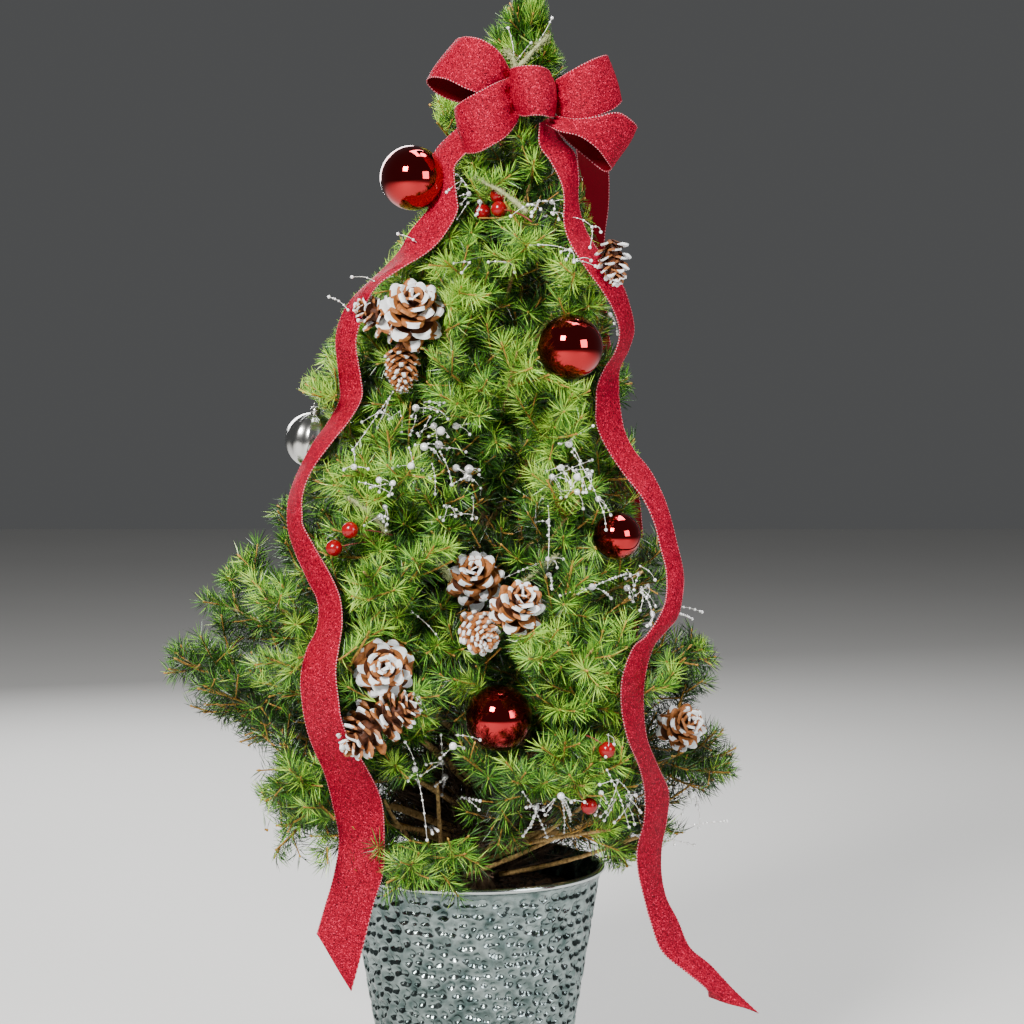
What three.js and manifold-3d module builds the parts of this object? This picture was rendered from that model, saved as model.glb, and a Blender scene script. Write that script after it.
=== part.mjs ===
// A potted spruce in a hammered steel pail, in millimetres, +Z up.
// The origin is the centre of the pail's flat underside, and the side that faces the viewer is -Y.
import * as THREE from "three";
import { mergeVertices } from "three/addons/utils/BufferGeometryUtils.js";
import Module from "manifold-3d";

const wasm = await Module();
wasm.setup();

// Driving sizes. Neighbouring pieces keep this much air between them.
const CLEARANCE = 0.3;

const PAIL = {
  height: 250,
  footRadius: 88,
  mouthRadius: 129,
  sheet: 1.6,
  footEdge: 1.5,
  beadRadius: 3,
  beadStart: -70,
  beadSweep: 220,
  beadSteps: 5,
  sides: 36,
};

const COMPOST = { depthBelowRim: 28, moundRise: 4, flatRadius: 34, sides: 24 };

const TRUNK = {
  height: 778,
  footRadius: 11.5,
  tipRadius: 2.4,
  taperPower: 0.9,
  flare: 7,
  flareHeight: 20,
  flareLobes: 5,
  flareDepth: 0.28,
  lean: 48,
  leanPower: 1.5,
  swayAcross: 7,
  swayDeep: 3.5,
  sides: 10,
  rings: 16,
};

// Each tier is a ring of limbs round the trunk. Heights are above the compost, and reaches are
// measured from the pail's axis to the limb's tip, on the viewer's left and right.
// bare is the share of the limb that is an open bough, and arch lifts the middle of its curve.
const TIERS = [
  { name: "rim", count: 5, turn: 36, foot: 28, tip: 40, left: 212, right: 186, bare: 0.42, arch: 46, twigs: 3 },
  { name: "skirt", count: 5, turn: 0, foot: 62, tip: 112, left: 252, right: 262, bare: 0.4, arch: 22, twigs: 4 },
  { name: "wide", count: 6, turn: 0, foot: 98, tip: 244, left: 304, right: 242, bare: 0.38, arch: -6, twigs: 4 },
  { name: "waist", count: 5, turn: 36, foot: 206, tip: 324, left: 262, right: 196, bare: 0, arch: 4, twigs: 4 },
  { name: "middle", count: 4, turn: 60, foot: 306, tip: 426, left: 218, right: 174, bare: 0, arch: 4, twigs: 4 },
  { name: "chest", count: 4, turn: 10, foot: 404, tip: 516, left: 166, right: 152, bare: 0, arch: 4, twigs: 4 },
  { name: "neck", count: 4, turn: 55, foot: 496, tip: 602, left: 132, right: 148, bare: 0, arch: 4, twigs: 3 },
  { name: "collar", count: 3, turn: 0, foot: 584, tip: 684, left: 76, right: 120, bare: 0, arch: 4, twigs: 3 },
  { name: "crest", count: 3, turn: 60, foot: 666, tip: 770, left: 38, right: 88, bare: 0, arch: 2, twigs: 2 },
];
const LIMB = { azimuthPlay: 7, reachPlay: 0.07, tipPlay: 16, footPlay: 4, stagger: 8, frontLift: 26 };
const BOUGH = { footRadius: 5.6, jointRadius: 3.4, taperPower: 0.7, sides: 6, rings: 5 };
const STEM = { footRadius: 3.2, tipRadius: 2.1, end: 0.8, lap: 0.08, sides: 4, rings: 2 };
const LEADER = { rise: 104, lean: 6, twigs: 4, spread: 0.36 };

// A twig leaves its limb at this angle, in degrees, and shortens towards the limb's tip.
const TWIG = {
  angle: 52,
  rollPlay: 90,
  flatten: 0.75,
  spread: 0.72,
  tipShoot: 34,
  curl: 0.12,
  first: 0.2,
  last: 0.76,
  shortest: 42,
  testedShares: [0.6, 0.8, 1],
  rootRadius: 1.7,
  tipRadius: 1.1,
};
const NEEDLE = { out: 18, ahead: 13, pitch: 21, mostRows: 4, corners: 3, twist: 41, rootShare: 0.14, endShare: 0.94 };
const SPACE_MARGIN = 4;
const SHORTEN = 0.86;
const LIMB_SAMPLES = 8;
const NEAR = 1;

// Edges shorter than this are closed up where pieces were joined.
const SCRAP = 0.15;

const MATERIALS = {
  steel: new THREE.MeshStandardMaterial({ color: 0x87949a, roughness: 0.38, metalness: 0.9 }),
  compost: new THREE.MeshStandardMaterial({ color: 0x2c2018, roughness: 0.95, metalness: 0 }),
  bark: new THREE.MeshStandardMaterial({ color: 0x6d4b30, roughness: 0.85, metalness: 0 }),
  needles: new THREE.MeshStandardMaterial({ color: 0x4a7a28, roughness: 0.6, metalness: 0 }),
};

const UP = new THREE.Vector3(0, 0, 1);
const LEVEL = new THREE.Vector3(1, 0, 0);

// A heading whose rise is over this counts as upright.
const UPRIGHT = 0.97;

// A fixed number from 0 to 1 for each pair of whole numbers, so that every build is the same.
function chance(seed, turn) {
  const wave = Math.sin(seed * 12.9898 + turn * 78.233) * 43758.5453;
  return wave - Math.floor(wave);
}

function either(seed, turn) {
  return 2 * chance(seed, turn) - 1;
}

// A closed geometry as a solid that can be joined and cut.
function solidOf(geometry) {
  const bare = new THREE.BufferGeometry();
  bare.setAttribute("position", geometry.getAttribute("position"));
  bare.setIndex(geometry.index);
  const merged = mergeVertices(bare, 1e-4);
  return new wasm.Manifold(
    new wasm.Mesh({
      numProp: 3,
      vertProperties: merged.attributes.position.array,
      triVerts: new Uint32Array(merged.index.array),
    }),
  );
}

// A solid as a named mesh whose own place is the given point.
function meshOf(name, solid, material, place = new THREE.Vector3()) {
  const made = solid.getMesh();
  const geometry = new THREE.BufferGeometry();
  geometry.setAttribute("position", new THREE.BufferAttribute(made.vertProperties, made.numProp));
  geometry.setIndex(new THREE.BufferAttribute(made.triVerts, 1));
  geometry.translate(-place.x, -place.y, -place.z);
  geometry.computeVertexNormals();
  const mesh = new THREE.Mesh(geometry, material);
  mesh.name = name;
  mesh.position.copy(place);
  return mesh;
}

// A profile of radius and height turned about the vertical axis.
function turned(points, sides) {
  const profile = points.map(([radius, height]) => new THREE.Vector2(radius, height));
  return new THREE.LatheGeometry(profile, sides).rotateX(Math.PI / 2);
}

function pailRadius(height) {
  return PAIL.footRadius + ((PAIL.mouthRadius - PAIL.footRadius) * height) / PAIL.height;
}

// The pail: a flat floor, a tapered sheet wall and a rolled bead round the mouth.
function pail() {
  const { height, footRadius, mouthRadius, sheet, footEdge, beadRadius, beadSteps, sides } = PAIL;
  const { beadStart, beadSweep } = PAIL;
  const beadCentre = height - beadRadius;
  const bead = Array.from({ length: beadSteps + 1 }, (_, k) => {
    const angle = THREE.MathUtils.degToRad(beadStart + (beadSweep * k) / beadSteps);
    return [mouthRadius + beadRadius * Math.cos(angle), beadCentre + beadRadius * Math.sin(angle)];
  });
  const underBead = height - 3 * beadRadius;
  return turned(
    [
      [0, 0],
      [footRadius - footEdge, 0],
      [footRadius, footEdge],
      [pailRadius(underBead), underBead],
      ...bead,
      [pailRadius(underBead) - sheet, underBead],
      [footRadius - sheet, sheet],
      [0, sheet],
    ],
    sides,
  );
}

// The room inside the pail's faceted wall at a height.
function compostRadius(height) {
  return (pailRadius(height) - PAIL.sheet) * Math.cos(Math.PI / PAIL.sides) - CLEARANCE;
}

// The compost fills the pail to a little under its rim, with a flat patch round the trunk.
function compost() {
  const top = PAIL.height - COMPOST.depthBelowRim;
  const edge = top - COMPOST.moundRise;
  const floor = PAIL.sheet + CLEARANCE;
  return turned(
    [
      [0, floor],
      [compostRadius(floor), floor],
      [compostRadius(edge), edge],
      [COMPOST.flatRadius, top],
      [0, top],
    ],
    COMPOST.sides,
  );
}

// The trunk's axis, from the compost to its tip, with a slight sway and a lean to the right.
class TrunkLine extends THREE.Curve {
  getPoint(share) {
    const rise = Math.max(share, 0);
    return new THREE.Vector3(
      TRUNK.lean * rise ** TRUNK.leanPower - TRUNK.swayAcross * Math.sin(Math.PI * rise),
      TRUNK.swayDeep * Math.sin(2 * Math.PI * rise),
      TRUNK.height * share,
    );
  }
}

// The leader's axis goes on from the trunk's tip.
class LeaderLine extends THREE.Curve {
  getPoint(share) {
    const foot = trunkLine.getPoint(1);
    return foot.add(new THREE.Vector3(LEADER.lean * share, 0, CLEARANCE + LEADER.rise * share));
  }
}

const trunkLine = new TrunkLine();

function trunkRadius(share) {
  const taper = TRUNK.tipRadius + (TRUNK.footRadius - TRUNK.tipRadius) * (1 - share) ** TRUNK.taperPower;
  return taper + TRUNK.flare * Math.exp((-share * TRUNK.height) / TRUNK.flareHeight);
}

// The root flare's ribs, as a factor on the radius.
function flareRibs(share, angle) {
  const fade = Math.exp((-share * TRUNK.height) / TRUNK.flareHeight);
  return 1 + TRUNK.flareDepth * fade * Math.cos(TRUNK.flareLobes * angle);
}

// A limb, tapered along a stretch of a curve. Level rings lie flat, and others stand across the curve.
function tapered({ line, from = 0, to = 1, radius, ribs = () => 1, sides, rings, level = false }) {
  const geometry = new THREE.CylinderGeometry(1, 1, 1, sides, rings);
  const corners = geometry.attributes.position;
  for (let i = 0; i < corners.count; i++) {
    const share = corners.getY(i) + 0.5;
    const along = from + (to - from) * share;
    const { side, lift } = level ? levelFrame() : frameOf(line.getTangent(along));
    const angle = Math.atan2(corners.getZ(i), corners.getX(i));
    const reach = radius(share) * ribs(share, angle);
    const place = line
      .getPoint(along)
      .addScaledVector(side, corners.getX(i) * reach)
      .addScaledVector(lift, corners.getZ(i) * reach);
    corners.setXYZ(i, place.x, place.y, place.z);
  }
  return geometry;
}

function levelFrame() {
  return { side: LEVEL.clone(), lift: new THREE.Vector3(0, -1, 0) };
}

// Two directions square to a heading: one level, one lifted.
function frameOf(heading) {
  const steep = Math.abs(heading.z) > UPRIGHT;
  const side = new THREE.Vector3().crossVectors(heading, steep ? LEVEL : UP).normalize();
  const lift = new THREE.Vector3().crossVectors(side, heading).normalize();
  return { side, lift };
}

// A spray of needles: a slim three-cornered core whose side panels each rise to one needle.
function spray({ line, from = 0, to = 1, rootRadius, tipRadius }) {
  const { out, ahead, pitch, mostRows, corners, twist, rootShare, endShare } = NEEDLE;
  const length = line.getPoint(from).distanceTo(line.getPoint(to));
  const rows = THREE.MathUtils.clamp(Math.round((length * (endShare - rootShare)) / pitch), 2, mostRows);
  const shares = [0];
  for (let k = 0; k <= rows; k++) shares.push(rootShare + ((endShare - rootShare) * k) / rows);

  const points = [];
  const faces = [];
  const centres = [];
  const add = (point) => points.push(point) - 1;
  const rings = shares.map((share, row) => {
    const along = from + (to - from) * share;
    const centre = line.getPoint(along);
    const heading = line.getTangent(along);
    const { side, lift } = frameOf(heading);
    const radius = rootRadius + (tipRadius - rootRadius) * share;
    centres.push({ centre, heading });
    return Array.from({ length: corners }, (_, corner) => {
      const angle = (2 * Math.PI * corner) / corners + THREE.MathUtils.degToRad(twist * row);
      return add(
        centre
          .clone()
          .addScaledVector(side, radius * Math.cos(angle))
          .addScaledVector(lift, radius * Math.sin(angle)),
      );
    });
  });

  const tip = add(line.getPoint(to));
  for (let corner = 0; corner < corners; corner++) {
    const next = (corner + 1) % corners;
    for (let row = 0; row <= rows; row++) {
      const panel = [rings[row][corner], rings[row][next], rings[row + 1][next], rings[row + 1][corner]];
      if (row === 0) {
        faces.push([panel[0], panel[2], panel[1]], [panel[0], panel[3], panel[2]]);
        continue;
      }
      const middle = panel.reduce((sum, p) => sum.add(points[p]), new THREE.Vector3()).multiplyScalar(0.25);
      const axis = centres[row].centre.clone().lerp(centres[row + 1].centre, 0.5);
      const outward = middle.clone().sub(axis).normalize();
      const point = add(middle.addScaledVector(outward, out).addScaledVector(centres[row].heading, ahead));
      panel.forEach((p, k) => faces.push([panel[(k + 1) % 4], p, point]));
    }
    faces.push([rings[rows + 1][next], rings[rows + 1][corner], tip]);
  }
  faces.push([rings[0][0], rings[0][1], rings[0][2]]);

  const geometry = new THREE.BufferGeometry().setFromPoints(points);
  geometry.setIndex(faces.flat());
  return solidOf(geometry);
}

// One limb of a tier: an arched curve from the trunk's axis to the limb's tip.
function limbOf(tier, tierIndex, index) {
  const seed = 10 * (tierIndex + 1) + index;
  const degrees = tier.turn + (360 * index) / tier.count + LIMB.azimuthPlay * either(seed, 1);
  const azimuth = THREE.MathUtils.degToRad(degrees);
  const leftward = (1 - Math.cos(azimuth)) / 2;
  const frontward = (1 - Math.sin(azimuth)) / 2;
  const reach = (tier.right + (tier.left - tier.right) * leftward) * (1 + LIMB.reachPlay * either(seed, 2));
  const footHeight = tier.foot + LIMB.stagger * (-1) ** index + LIMB.footPlay * either(seed, 3);
  const tipHeight = tier.tip + LIMB.tipPlay * either(seed, 4) + LIMB.frontLift * frontward;
  const foot = trunkLine.getPoint(footHeight / TRUNK.height);
  const tip = new THREE.Vector3(reach * Math.cos(azimuth), reach * Math.sin(azimuth), tipHeight);
  const middle = foot.clone().lerp(tip, 0.5);
  middle.z += tier.arch;
  return {
    name: `${tier.name}_${index + 1}`,
    seed,
    line: new THREE.QuadraticBezierCurve3(foot, middle, tip),
    length: foot.distanceTo(tip),
    bare: tier.bare,
    twigs: tier.twigs,
    spread: TWIG.spread,
    level: false,
  };
}

const limbs = TIERS.flatMap((tier, tierIndex) =>
  Array.from({ length: tier.count }, (_, index) => limbOf(tier, tierIndex, index)),
);
limbs.push({
  name: "leader",
  seed: 99,
  line: new LeaderLine(),
  length: LEADER.rise,
  bare: 0,
  twigs: LEADER.twigs,
  spread: LEADER.spread,
  level: true,
});
for (const limb of limbs) {
  limb.samples = Array.from({ length: LIMB_SAMPLES }, (_, k) =>
    limb.line.getPoint(limb.bare + ((1 - limb.bare) * (k + 1)) / LIMB_SAMPLES),
  );
}

function nearness(limb, point) {
  return Math.min(...limb.samples.map((sample) => sample.distanceTo(point)));
}

// Each mass keeps to its own space: the points that lie nearer to its limb than to any other.
function ownSpace(limb, point) {
  const own = nearness(limb, point) + SPACE_MARGIN;
  return limbs.every((other) => other === limb || nearness(other, point) > own);
}

// A twig's curve: it leaves the limb on alternate sides and curls up a little at its tip.
function twigLine(limb, index, count, scale) {
  const step = TWIG.first + ((TWIG.last - TWIG.first) * index) / Math.max(count - 1, 1);
  const along = limb.bare + (1 - limb.bare) * step;
  const root = limb.line.getPoint(along);
  const heading = limb.line.getTangent(along);
  const { side, lift } = frameOf(heading);
  const turn = limb.level ? 360 / count : 180;
  const roll = THREE.MathUtils.degToRad(turn * index + TWIG.rollPlay * 0.5 * either(limb.seed, 20 + index));
  const angle = THREE.MathUtils.degToRad(TWIG.angle);
  const across = side.multiplyScalar(Math.cos(roll)).addScaledVector(lift, TWIG.flatten * Math.sin(roll));
  const direction = heading.multiplyScalar(Math.cos(angle)).addScaledVector(across, Math.sin(angle)).normalize();
  const length = scale * (limb.spread * limb.length * (1 - limb.bare) * (1 - step) + TWIG.tipShoot);
  const middle = root.clone().addScaledVector(direction, length / 2);
  const tip = root.clone().addScaledVector(direction, length).addScaledVector(UP, TWIG.curl * length);
  return { line: new THREE.QuadraticBezierCurve3(root, middle, tip), length };
}

const barkedTrunk = solidOf(
  tapered({
    line: trunkLine,
    radius: trunkRadius,
    ribs: flareRibs,
    sides: TRUNK.sides,
    rings: TRUNK.rings,
    level: true,
  }),
);

// The trunk and a little air, which the limbs that meet it are cut back to.
const trunkRoom = solidOf(
  tapered({
    line: trunkLine,
    radius: (share) => trunkRadius(share) + CLEARANCE / Math.cos(Math.PI / TRUNK.sides),
    ribs: flareRibs,
    sides: TRUNK.sides,
    rings: TRUNK.rings,
    level: true,
  }),
);

// A limb's cut ends: whole pieces only, so that a scrap left beyond the trunk is dropped.
function largest(solid) {
  return solid.decompose().reduce((best, piece) => (piece.volume() > best.volume() ? piece : best));
}

function boughOf(limb) {
  const { footRadius, jointRadius, taperPower, sides, rings } = BOUGH;
  const solid = solidOf(
    tapered({
      line: limb.line,
      to: limb.bare,
      radius: (share) => footRadius + (jointRadius - footRadius) * share ** taperPower,
      sides,
      rings,
    }),
  );
  return largest(solid.subtract(trunkRoom));
}

// The stem that a mass's twigs grow from. It meets its bough or the trunk with a little air.
function stemOf(limb) {
  const { footRadius, tipRadius, end, sides, rings } = STEM;
  const gap = limb.bare > 0 ? CLEARANCE / limb.length : 0;
  const thin = limb.level ? TRUNK.tipRadius : footRadius;
  const solid = solidOf(
    tapered({
      line: limb.line,
      from: limb.bare + gap,
      to: limb.bare + (1 - limb.bare) * end,
      radius: (share) => thin + (tipRadius - thin) * share,
      sides,
      rings,
      level: limb.level,
    }),
  );
  return limb.bare > 0 || limb.level ? solid : largest(solid.subtract(trunkRoom));
}

function endSpray(limb) {
  return spray({
    line: limb.line,
    from: limb.bare + (1 - limb.bare) * (STEM.end - STEM.lap),
    to: 1,
    rootRadius: TWIG.rootRadius,
    tipRadius: TWIG.tipRadius,
  });
}

function touches(one, other) {
  const a = one.boundingBox();
  const b = other.boundingBox();
  const apart = [0, 1, 2].some((k) => a.min[k] > b.max[k] + NEAR || b.min[k] > a.max[k] + NEAR);
  return !apart && one.minGap(other, NEAR) < 2 * CLEARANCE;
}

const boughs = new Map(limbs.filter((limb) => limb.bare > 0).map((limb) => [limb, boughOf(limb)]));
const growth = new Map(limbs.map((limb) => [limb, [stemOf(limb), endSpray(limb)]]));

function isClear(limb, piece) {
  if (touches(piece, barkedTrunk)) return false;
  for (const bough of boughs.values()) if (touches(piece, bough)) return false;
  for (const [other, pieces] of growth) {
    if (other !== limb && pieces.some((stranger) => touches(piece, stranger))) return false;
  }
  return true;
}

// A twig is shortened until it stays in its mass's space, and skipped when too little is left of it.
function growTwig(limb, index) {
  for (let scale = 1; ; scale *= SHORTEN) {
    const { line, length } = twigLine(limb, index, limb.twigs, scale);
    if (length < TWIG.shortest) return;
    if (!TWIG.testedShares.every((share) => ownSpace(limb, line.getPoint(share)))) continue;
    const piece = spray({ line, rootRadius: TWIG.rootRadius, tipRadius: TWIG.tipRadius });
    if (!isClear(limb, piece)) continue;
    growth.get(limb).push(piece);
    return;
  }
}

for (const limb of limbs) {
  for (let index = 0; index < limb.twigs; index++) growTwig(limb, index);
}

// The scene: the pail and its compost, and the plant standing on the compost.
const potted = new THREE.Group();
potted.add(meshOf("pail", solidOf(pail()), MATERIALS.steel));
potted.add(meshOf("compost", solidOf(compost()), MATERIALS.compost));

const plant = new THREE.Group();
plant.position.z = PAIL.height - COMPOST.depthBelowRim + CLEARANCE;
plant.add(meshOf("trunk", barkedTrunk, MATERIALS.bark));
for (const [limb, bough] of boughs) {
  plant.add(meshOf(`bough_${limb.name}`, bough, MATERIALS.bark, limb.line.getPoint(0)));
}
for (const [limb, pieces] of growth) {
  const foliage = largest(wasm.Manifold.union(pieces).simplify(SCRAP));
  plant.add(meshOf(`foliage_${limb.name}`, foliage, MATERIALS.needles, limb.line.getPoint(limb.bare)));
}
potted.add(plant);

export default potted;
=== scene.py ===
"""A small potted spruce, dressed for Christmas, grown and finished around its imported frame.

Sizes and places are millimetres in the part's own frame, and become metres when a piece is made.
"""

import logging
import math
from collections.abc import Callable, Iterator, Sequence
from dataclasses import dataclass, field
from enum import Enum
from functools import cache
from typing import Protocol

import bpy
import numpy as np
from mathutils import Euler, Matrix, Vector


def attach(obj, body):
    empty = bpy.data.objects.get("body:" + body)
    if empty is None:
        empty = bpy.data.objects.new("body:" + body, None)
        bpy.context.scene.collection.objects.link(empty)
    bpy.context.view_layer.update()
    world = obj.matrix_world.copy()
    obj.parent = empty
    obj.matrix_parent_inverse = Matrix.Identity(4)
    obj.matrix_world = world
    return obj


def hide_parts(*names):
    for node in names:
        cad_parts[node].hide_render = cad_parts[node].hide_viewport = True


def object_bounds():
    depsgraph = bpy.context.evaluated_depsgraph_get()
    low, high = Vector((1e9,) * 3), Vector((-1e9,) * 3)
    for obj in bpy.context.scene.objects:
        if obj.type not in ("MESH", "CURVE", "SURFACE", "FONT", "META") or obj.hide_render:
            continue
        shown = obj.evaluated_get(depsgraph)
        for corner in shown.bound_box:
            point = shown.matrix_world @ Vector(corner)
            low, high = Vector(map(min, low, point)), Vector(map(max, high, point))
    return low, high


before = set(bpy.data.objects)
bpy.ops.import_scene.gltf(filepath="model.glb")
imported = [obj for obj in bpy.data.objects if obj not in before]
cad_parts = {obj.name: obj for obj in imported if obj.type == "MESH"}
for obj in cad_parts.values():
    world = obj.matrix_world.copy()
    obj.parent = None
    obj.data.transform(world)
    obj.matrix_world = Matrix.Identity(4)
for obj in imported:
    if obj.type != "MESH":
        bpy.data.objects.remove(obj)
CAD_BOX = [list(corner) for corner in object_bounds()]

Array = np.ndarray
Material = bpy.types.Material
Socket = bpy.types.NodeSocket
Value = Socket | float | Sequence[float]
Draw = np.random.Generator
Pair = tuple[float, float]
Triple = tuple[float, float, float]
Four = tuple[float, float, float, float]
Five = tuple[float, float, float, float, float]
Colour = Triple
MM = 0.001
BODY = "root"
UP = np.array([0.0, 0.0, 1.0])
LEVEL = np.array([1.0, 0.0, 0.0])
GOLDEN_TURN = math.radians(137.508)
log = logging.getLogger("spruce")


def chance(seed: float, turn: float) -> float:
    """Gives the part's fixed number from 0 to 1 for a limb's or piece's number and one of its draws."""
    wave = math.sin(seed * 12.9898 + turn * 78.233) * 43758.5453
    return wave - math.floor(wave)


def either(seed: float, turn: float) -> float:
    """Gives the fixed number of a pair on a scale from -1 to 1."""
    return 2 * chance(seed, turn) - 1


def unit(vectors: Array) -> Array:
    """Scales each vector to length one."""
    return vectors / np.maximum(np.linalg.norm(vectors, axis=-1, keepdims=True), 1e-9)


def in_box(points: Array, margin: float) -> Array:
    """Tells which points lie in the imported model's box, or at most the margin outside it."""
    low, high = np.array(CAD_BOX) / MM
    return ((points > low - margin) & (points < high + margin)).all(axis=-1)


def smooth_step(low: float, high: float, value: Array) -> Array:
    """Rises smoothly from 0 at low to 1 at high."""
    share = np.clip((value - low) / (high - low), 0, 1)
    return share * share * (3 - 2 * share)


def spline(points: Array, count: int) -> Array:
    """Draws a smooth line through points, at even steps of their own number.

    Args:
        points: the points to pass through, as (n, k).
        count: how many points the line gets.

    Returns:
        The line's points, as (count, k).
    """
    padded = np.vstack([2 * points[0] - points[1], points, 2 * points[-1] - points[-2]])
    place = np.linspace(0, len(points) - 1, count)
    start = np.minimum(place.astype(int), len(points) - 2)
    t = (place - start)[:, None]
    before, here, there, after = (padded[start + k] for k in range(4))
    return 0.5 * (
        2 * here
        + (there - before) * t
        + (2 * before - 5 * here + 4 * there - after) * t**2
        + (3 * here - before - 3 * there + after) * t**3
    )


def carried_frames(lines: Array) -> tuple[Array, Array, Array]:
    """Carries two square directions along each line without twisting them.

    Args:
        lines: the lines' points, as (lines, n, 3).

    Returns:
        The headings, sides and lifts at every point.
    """
    heading = unit(np.gradient(lines, axis=1))
    side = np.zeros_like(heading)
    first = np.cross(heading[:, 0], UP)
    upright = np.linalg.norm(first, axis=1) < 0.2
    first[upright] = np.cross(heading[upright, 0], LEVEL)
    side[:, 0] = unit(first)
    for k in range(1, lines.shape[1]):
        carried = side[:, k - 1] - (side[:, k - 1] * heading[:, k]).sum(1, keepdims=True) * heading[:, k]
        side[:, k] = unit(carried)
    return heading, side, np.cross(side, heading)


def grid_faces(rows: int, columns: int, wraps: bool = False) -> Array:
    """Joins a grid of points, numbered row by row, with quads.

    Args:
        rows: how many rows of points there are.
        columns: how many points a row has.
        wraps: whether each row's last point joins its first.

    Returns:
        The quads' corner numbers.
    """
    steps = columns if wraps else columns - 1
    row, column = np.meshgrid(np.arange(rows - 1), np.arange(steps), indexing="ij")
    here, there = column.ravel(), (column.ravel() + 1) % columns
    base = row.ravel() * columns
    return np.stack([base + here, base + there, base + columns + there, base + columns + here], axis=1)


def ring_angles(sides: int) -> Array:
    """Gives the angles of the points of a ring, in radians."""
    return np.arange(sides) * 2 * np.pi / sides


def round_points(radii: Array, angle: Array, heights: Array) -> Array:
    """Gives the points at radii, angles and heights round the +Z axis, as (n, 3)."""
    places = np.broadcast_arrays(radii * np.cos(angle), radii * np.sin(angle), heights)
    return np.stack(places, axis=-1).reshape(-1, 3)


def end_fans(sides: int, rings: int) -> Array:
    """Closes a wall of rings with triangles to the two poles that follow the wall's points.

    Args:
        sides: how many points a ring has.
        rings: how many rings there are.

    Returns:
        The triangles' corner numbers.
    """
    corner = np.arange(sides)
    after = (corner + 1) % sides
    last = (rings - 1) * sides
    pole = np.full(sides, last + sides)
    low_end = np.stack([pole, after, corner], axis=1)
    return np.concatenate([low_end, np.stack([pole + 1, last + corner, last + after], axis=1)])


def tubes(lines: Array, radii: Array, sides: int) -> tuple[Array, Array, Array]:
    """Makes closed tubes along lines that have the same number of points.

    Args:
        lines: the centre lines, as (lines, n, 3).
        radii: the radius at each point, as (lines, n) or, round the tube too, (lines, n, sides).
        sides: how many sides each tube has.

    Returns:
        The points, the side quads and the end triangles.
    """
    count, steps = lines.shape[:2]
    _, side, lift = carried_frames(lines)
    angle = ring_angles(sides)
    around = np.cos(angle)[:, None] * side[:, :, None] + np.sin(angle)[:, None] * lift[:, :, None]
    radii = radii[..., None] if radii.ndim == 2 else radii
    rings = lines[:, :, None] + radii[..., None] * around
    points = np.concatenate([rings.reshape(count, -1, 3), lines[:, :1], lines[:, -1:]], axis=1)
    walls = grid_faces(steps, sides, wraps=True)[:, ::-1]
    ends = end_fans(sides, steps)[:, [0, 2, 1]]
    shift = np.arange(count)[:, None, None] * points.shape[1]
    return points.reshape(-1, 3), (walls + shift).reshape(-1, 4), (ends + shift).reshape(-1, 3)


def turned(profile: Array, sides: int) -> tuple[Array, Array, Array]:
    """Turns a profile about the +Z axis, closed by a point at each end.

    Args:
        profile: radius and height pairs from the lower end to the upper, the first and last on the axis.
        sides: how many sides the turned shape has.

    Returns:
        The points, the wall quads and the end triangles.
    """
    inner = profile[1:-1]
    rings = round_points(inner[:, :1], ring_angles(sides), inner[:, 1:])
    poles = np.array([[0, 0, profile[0, 1]], [0, 0, profile[-1, 1]]])
    walls = grid_faces(len(inner), sides, wraps=True)
    return np.concatenate([rings, poles]), walls, end_fans(sides, len(inner))


def ball_profile(radius: float, rings: int) -> Array:
    """Gives a half circle of radius and height pairs, from the lower pole to the upper."""
    angle = np.linspace(-np.pi / 2, np.pi / 2, rings)
    return np.stack([radius * np.cos(angle), radius * np.sin(angle)], axis=1)


def aimed(points: Array, axis: Array, place: Array) -> Array:
    """Turns points so that their +Z lies along an axis, and moves them to a place.

    Args:
        points: the points to turn, as (n, 3).
        axis: where +Z is to point.
        place: where the origin is to go.

    Returns:
        The moved points.
    """
    lift = unit(np.asarray(axis, float))
    side = np.cross(UP, lift)
    side = LEVEL if np.linalg.norm(side) < 1e-6 else unit(side)
    return points @ np.stack([side, np.cross(lift, side), lift]) + place


class Finish(Protocol):
    """What a piece, or a part of it, is covered in."""

    def make(self) -> Material:
        """Makes the material, once for all the pieces that share it."""


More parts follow.
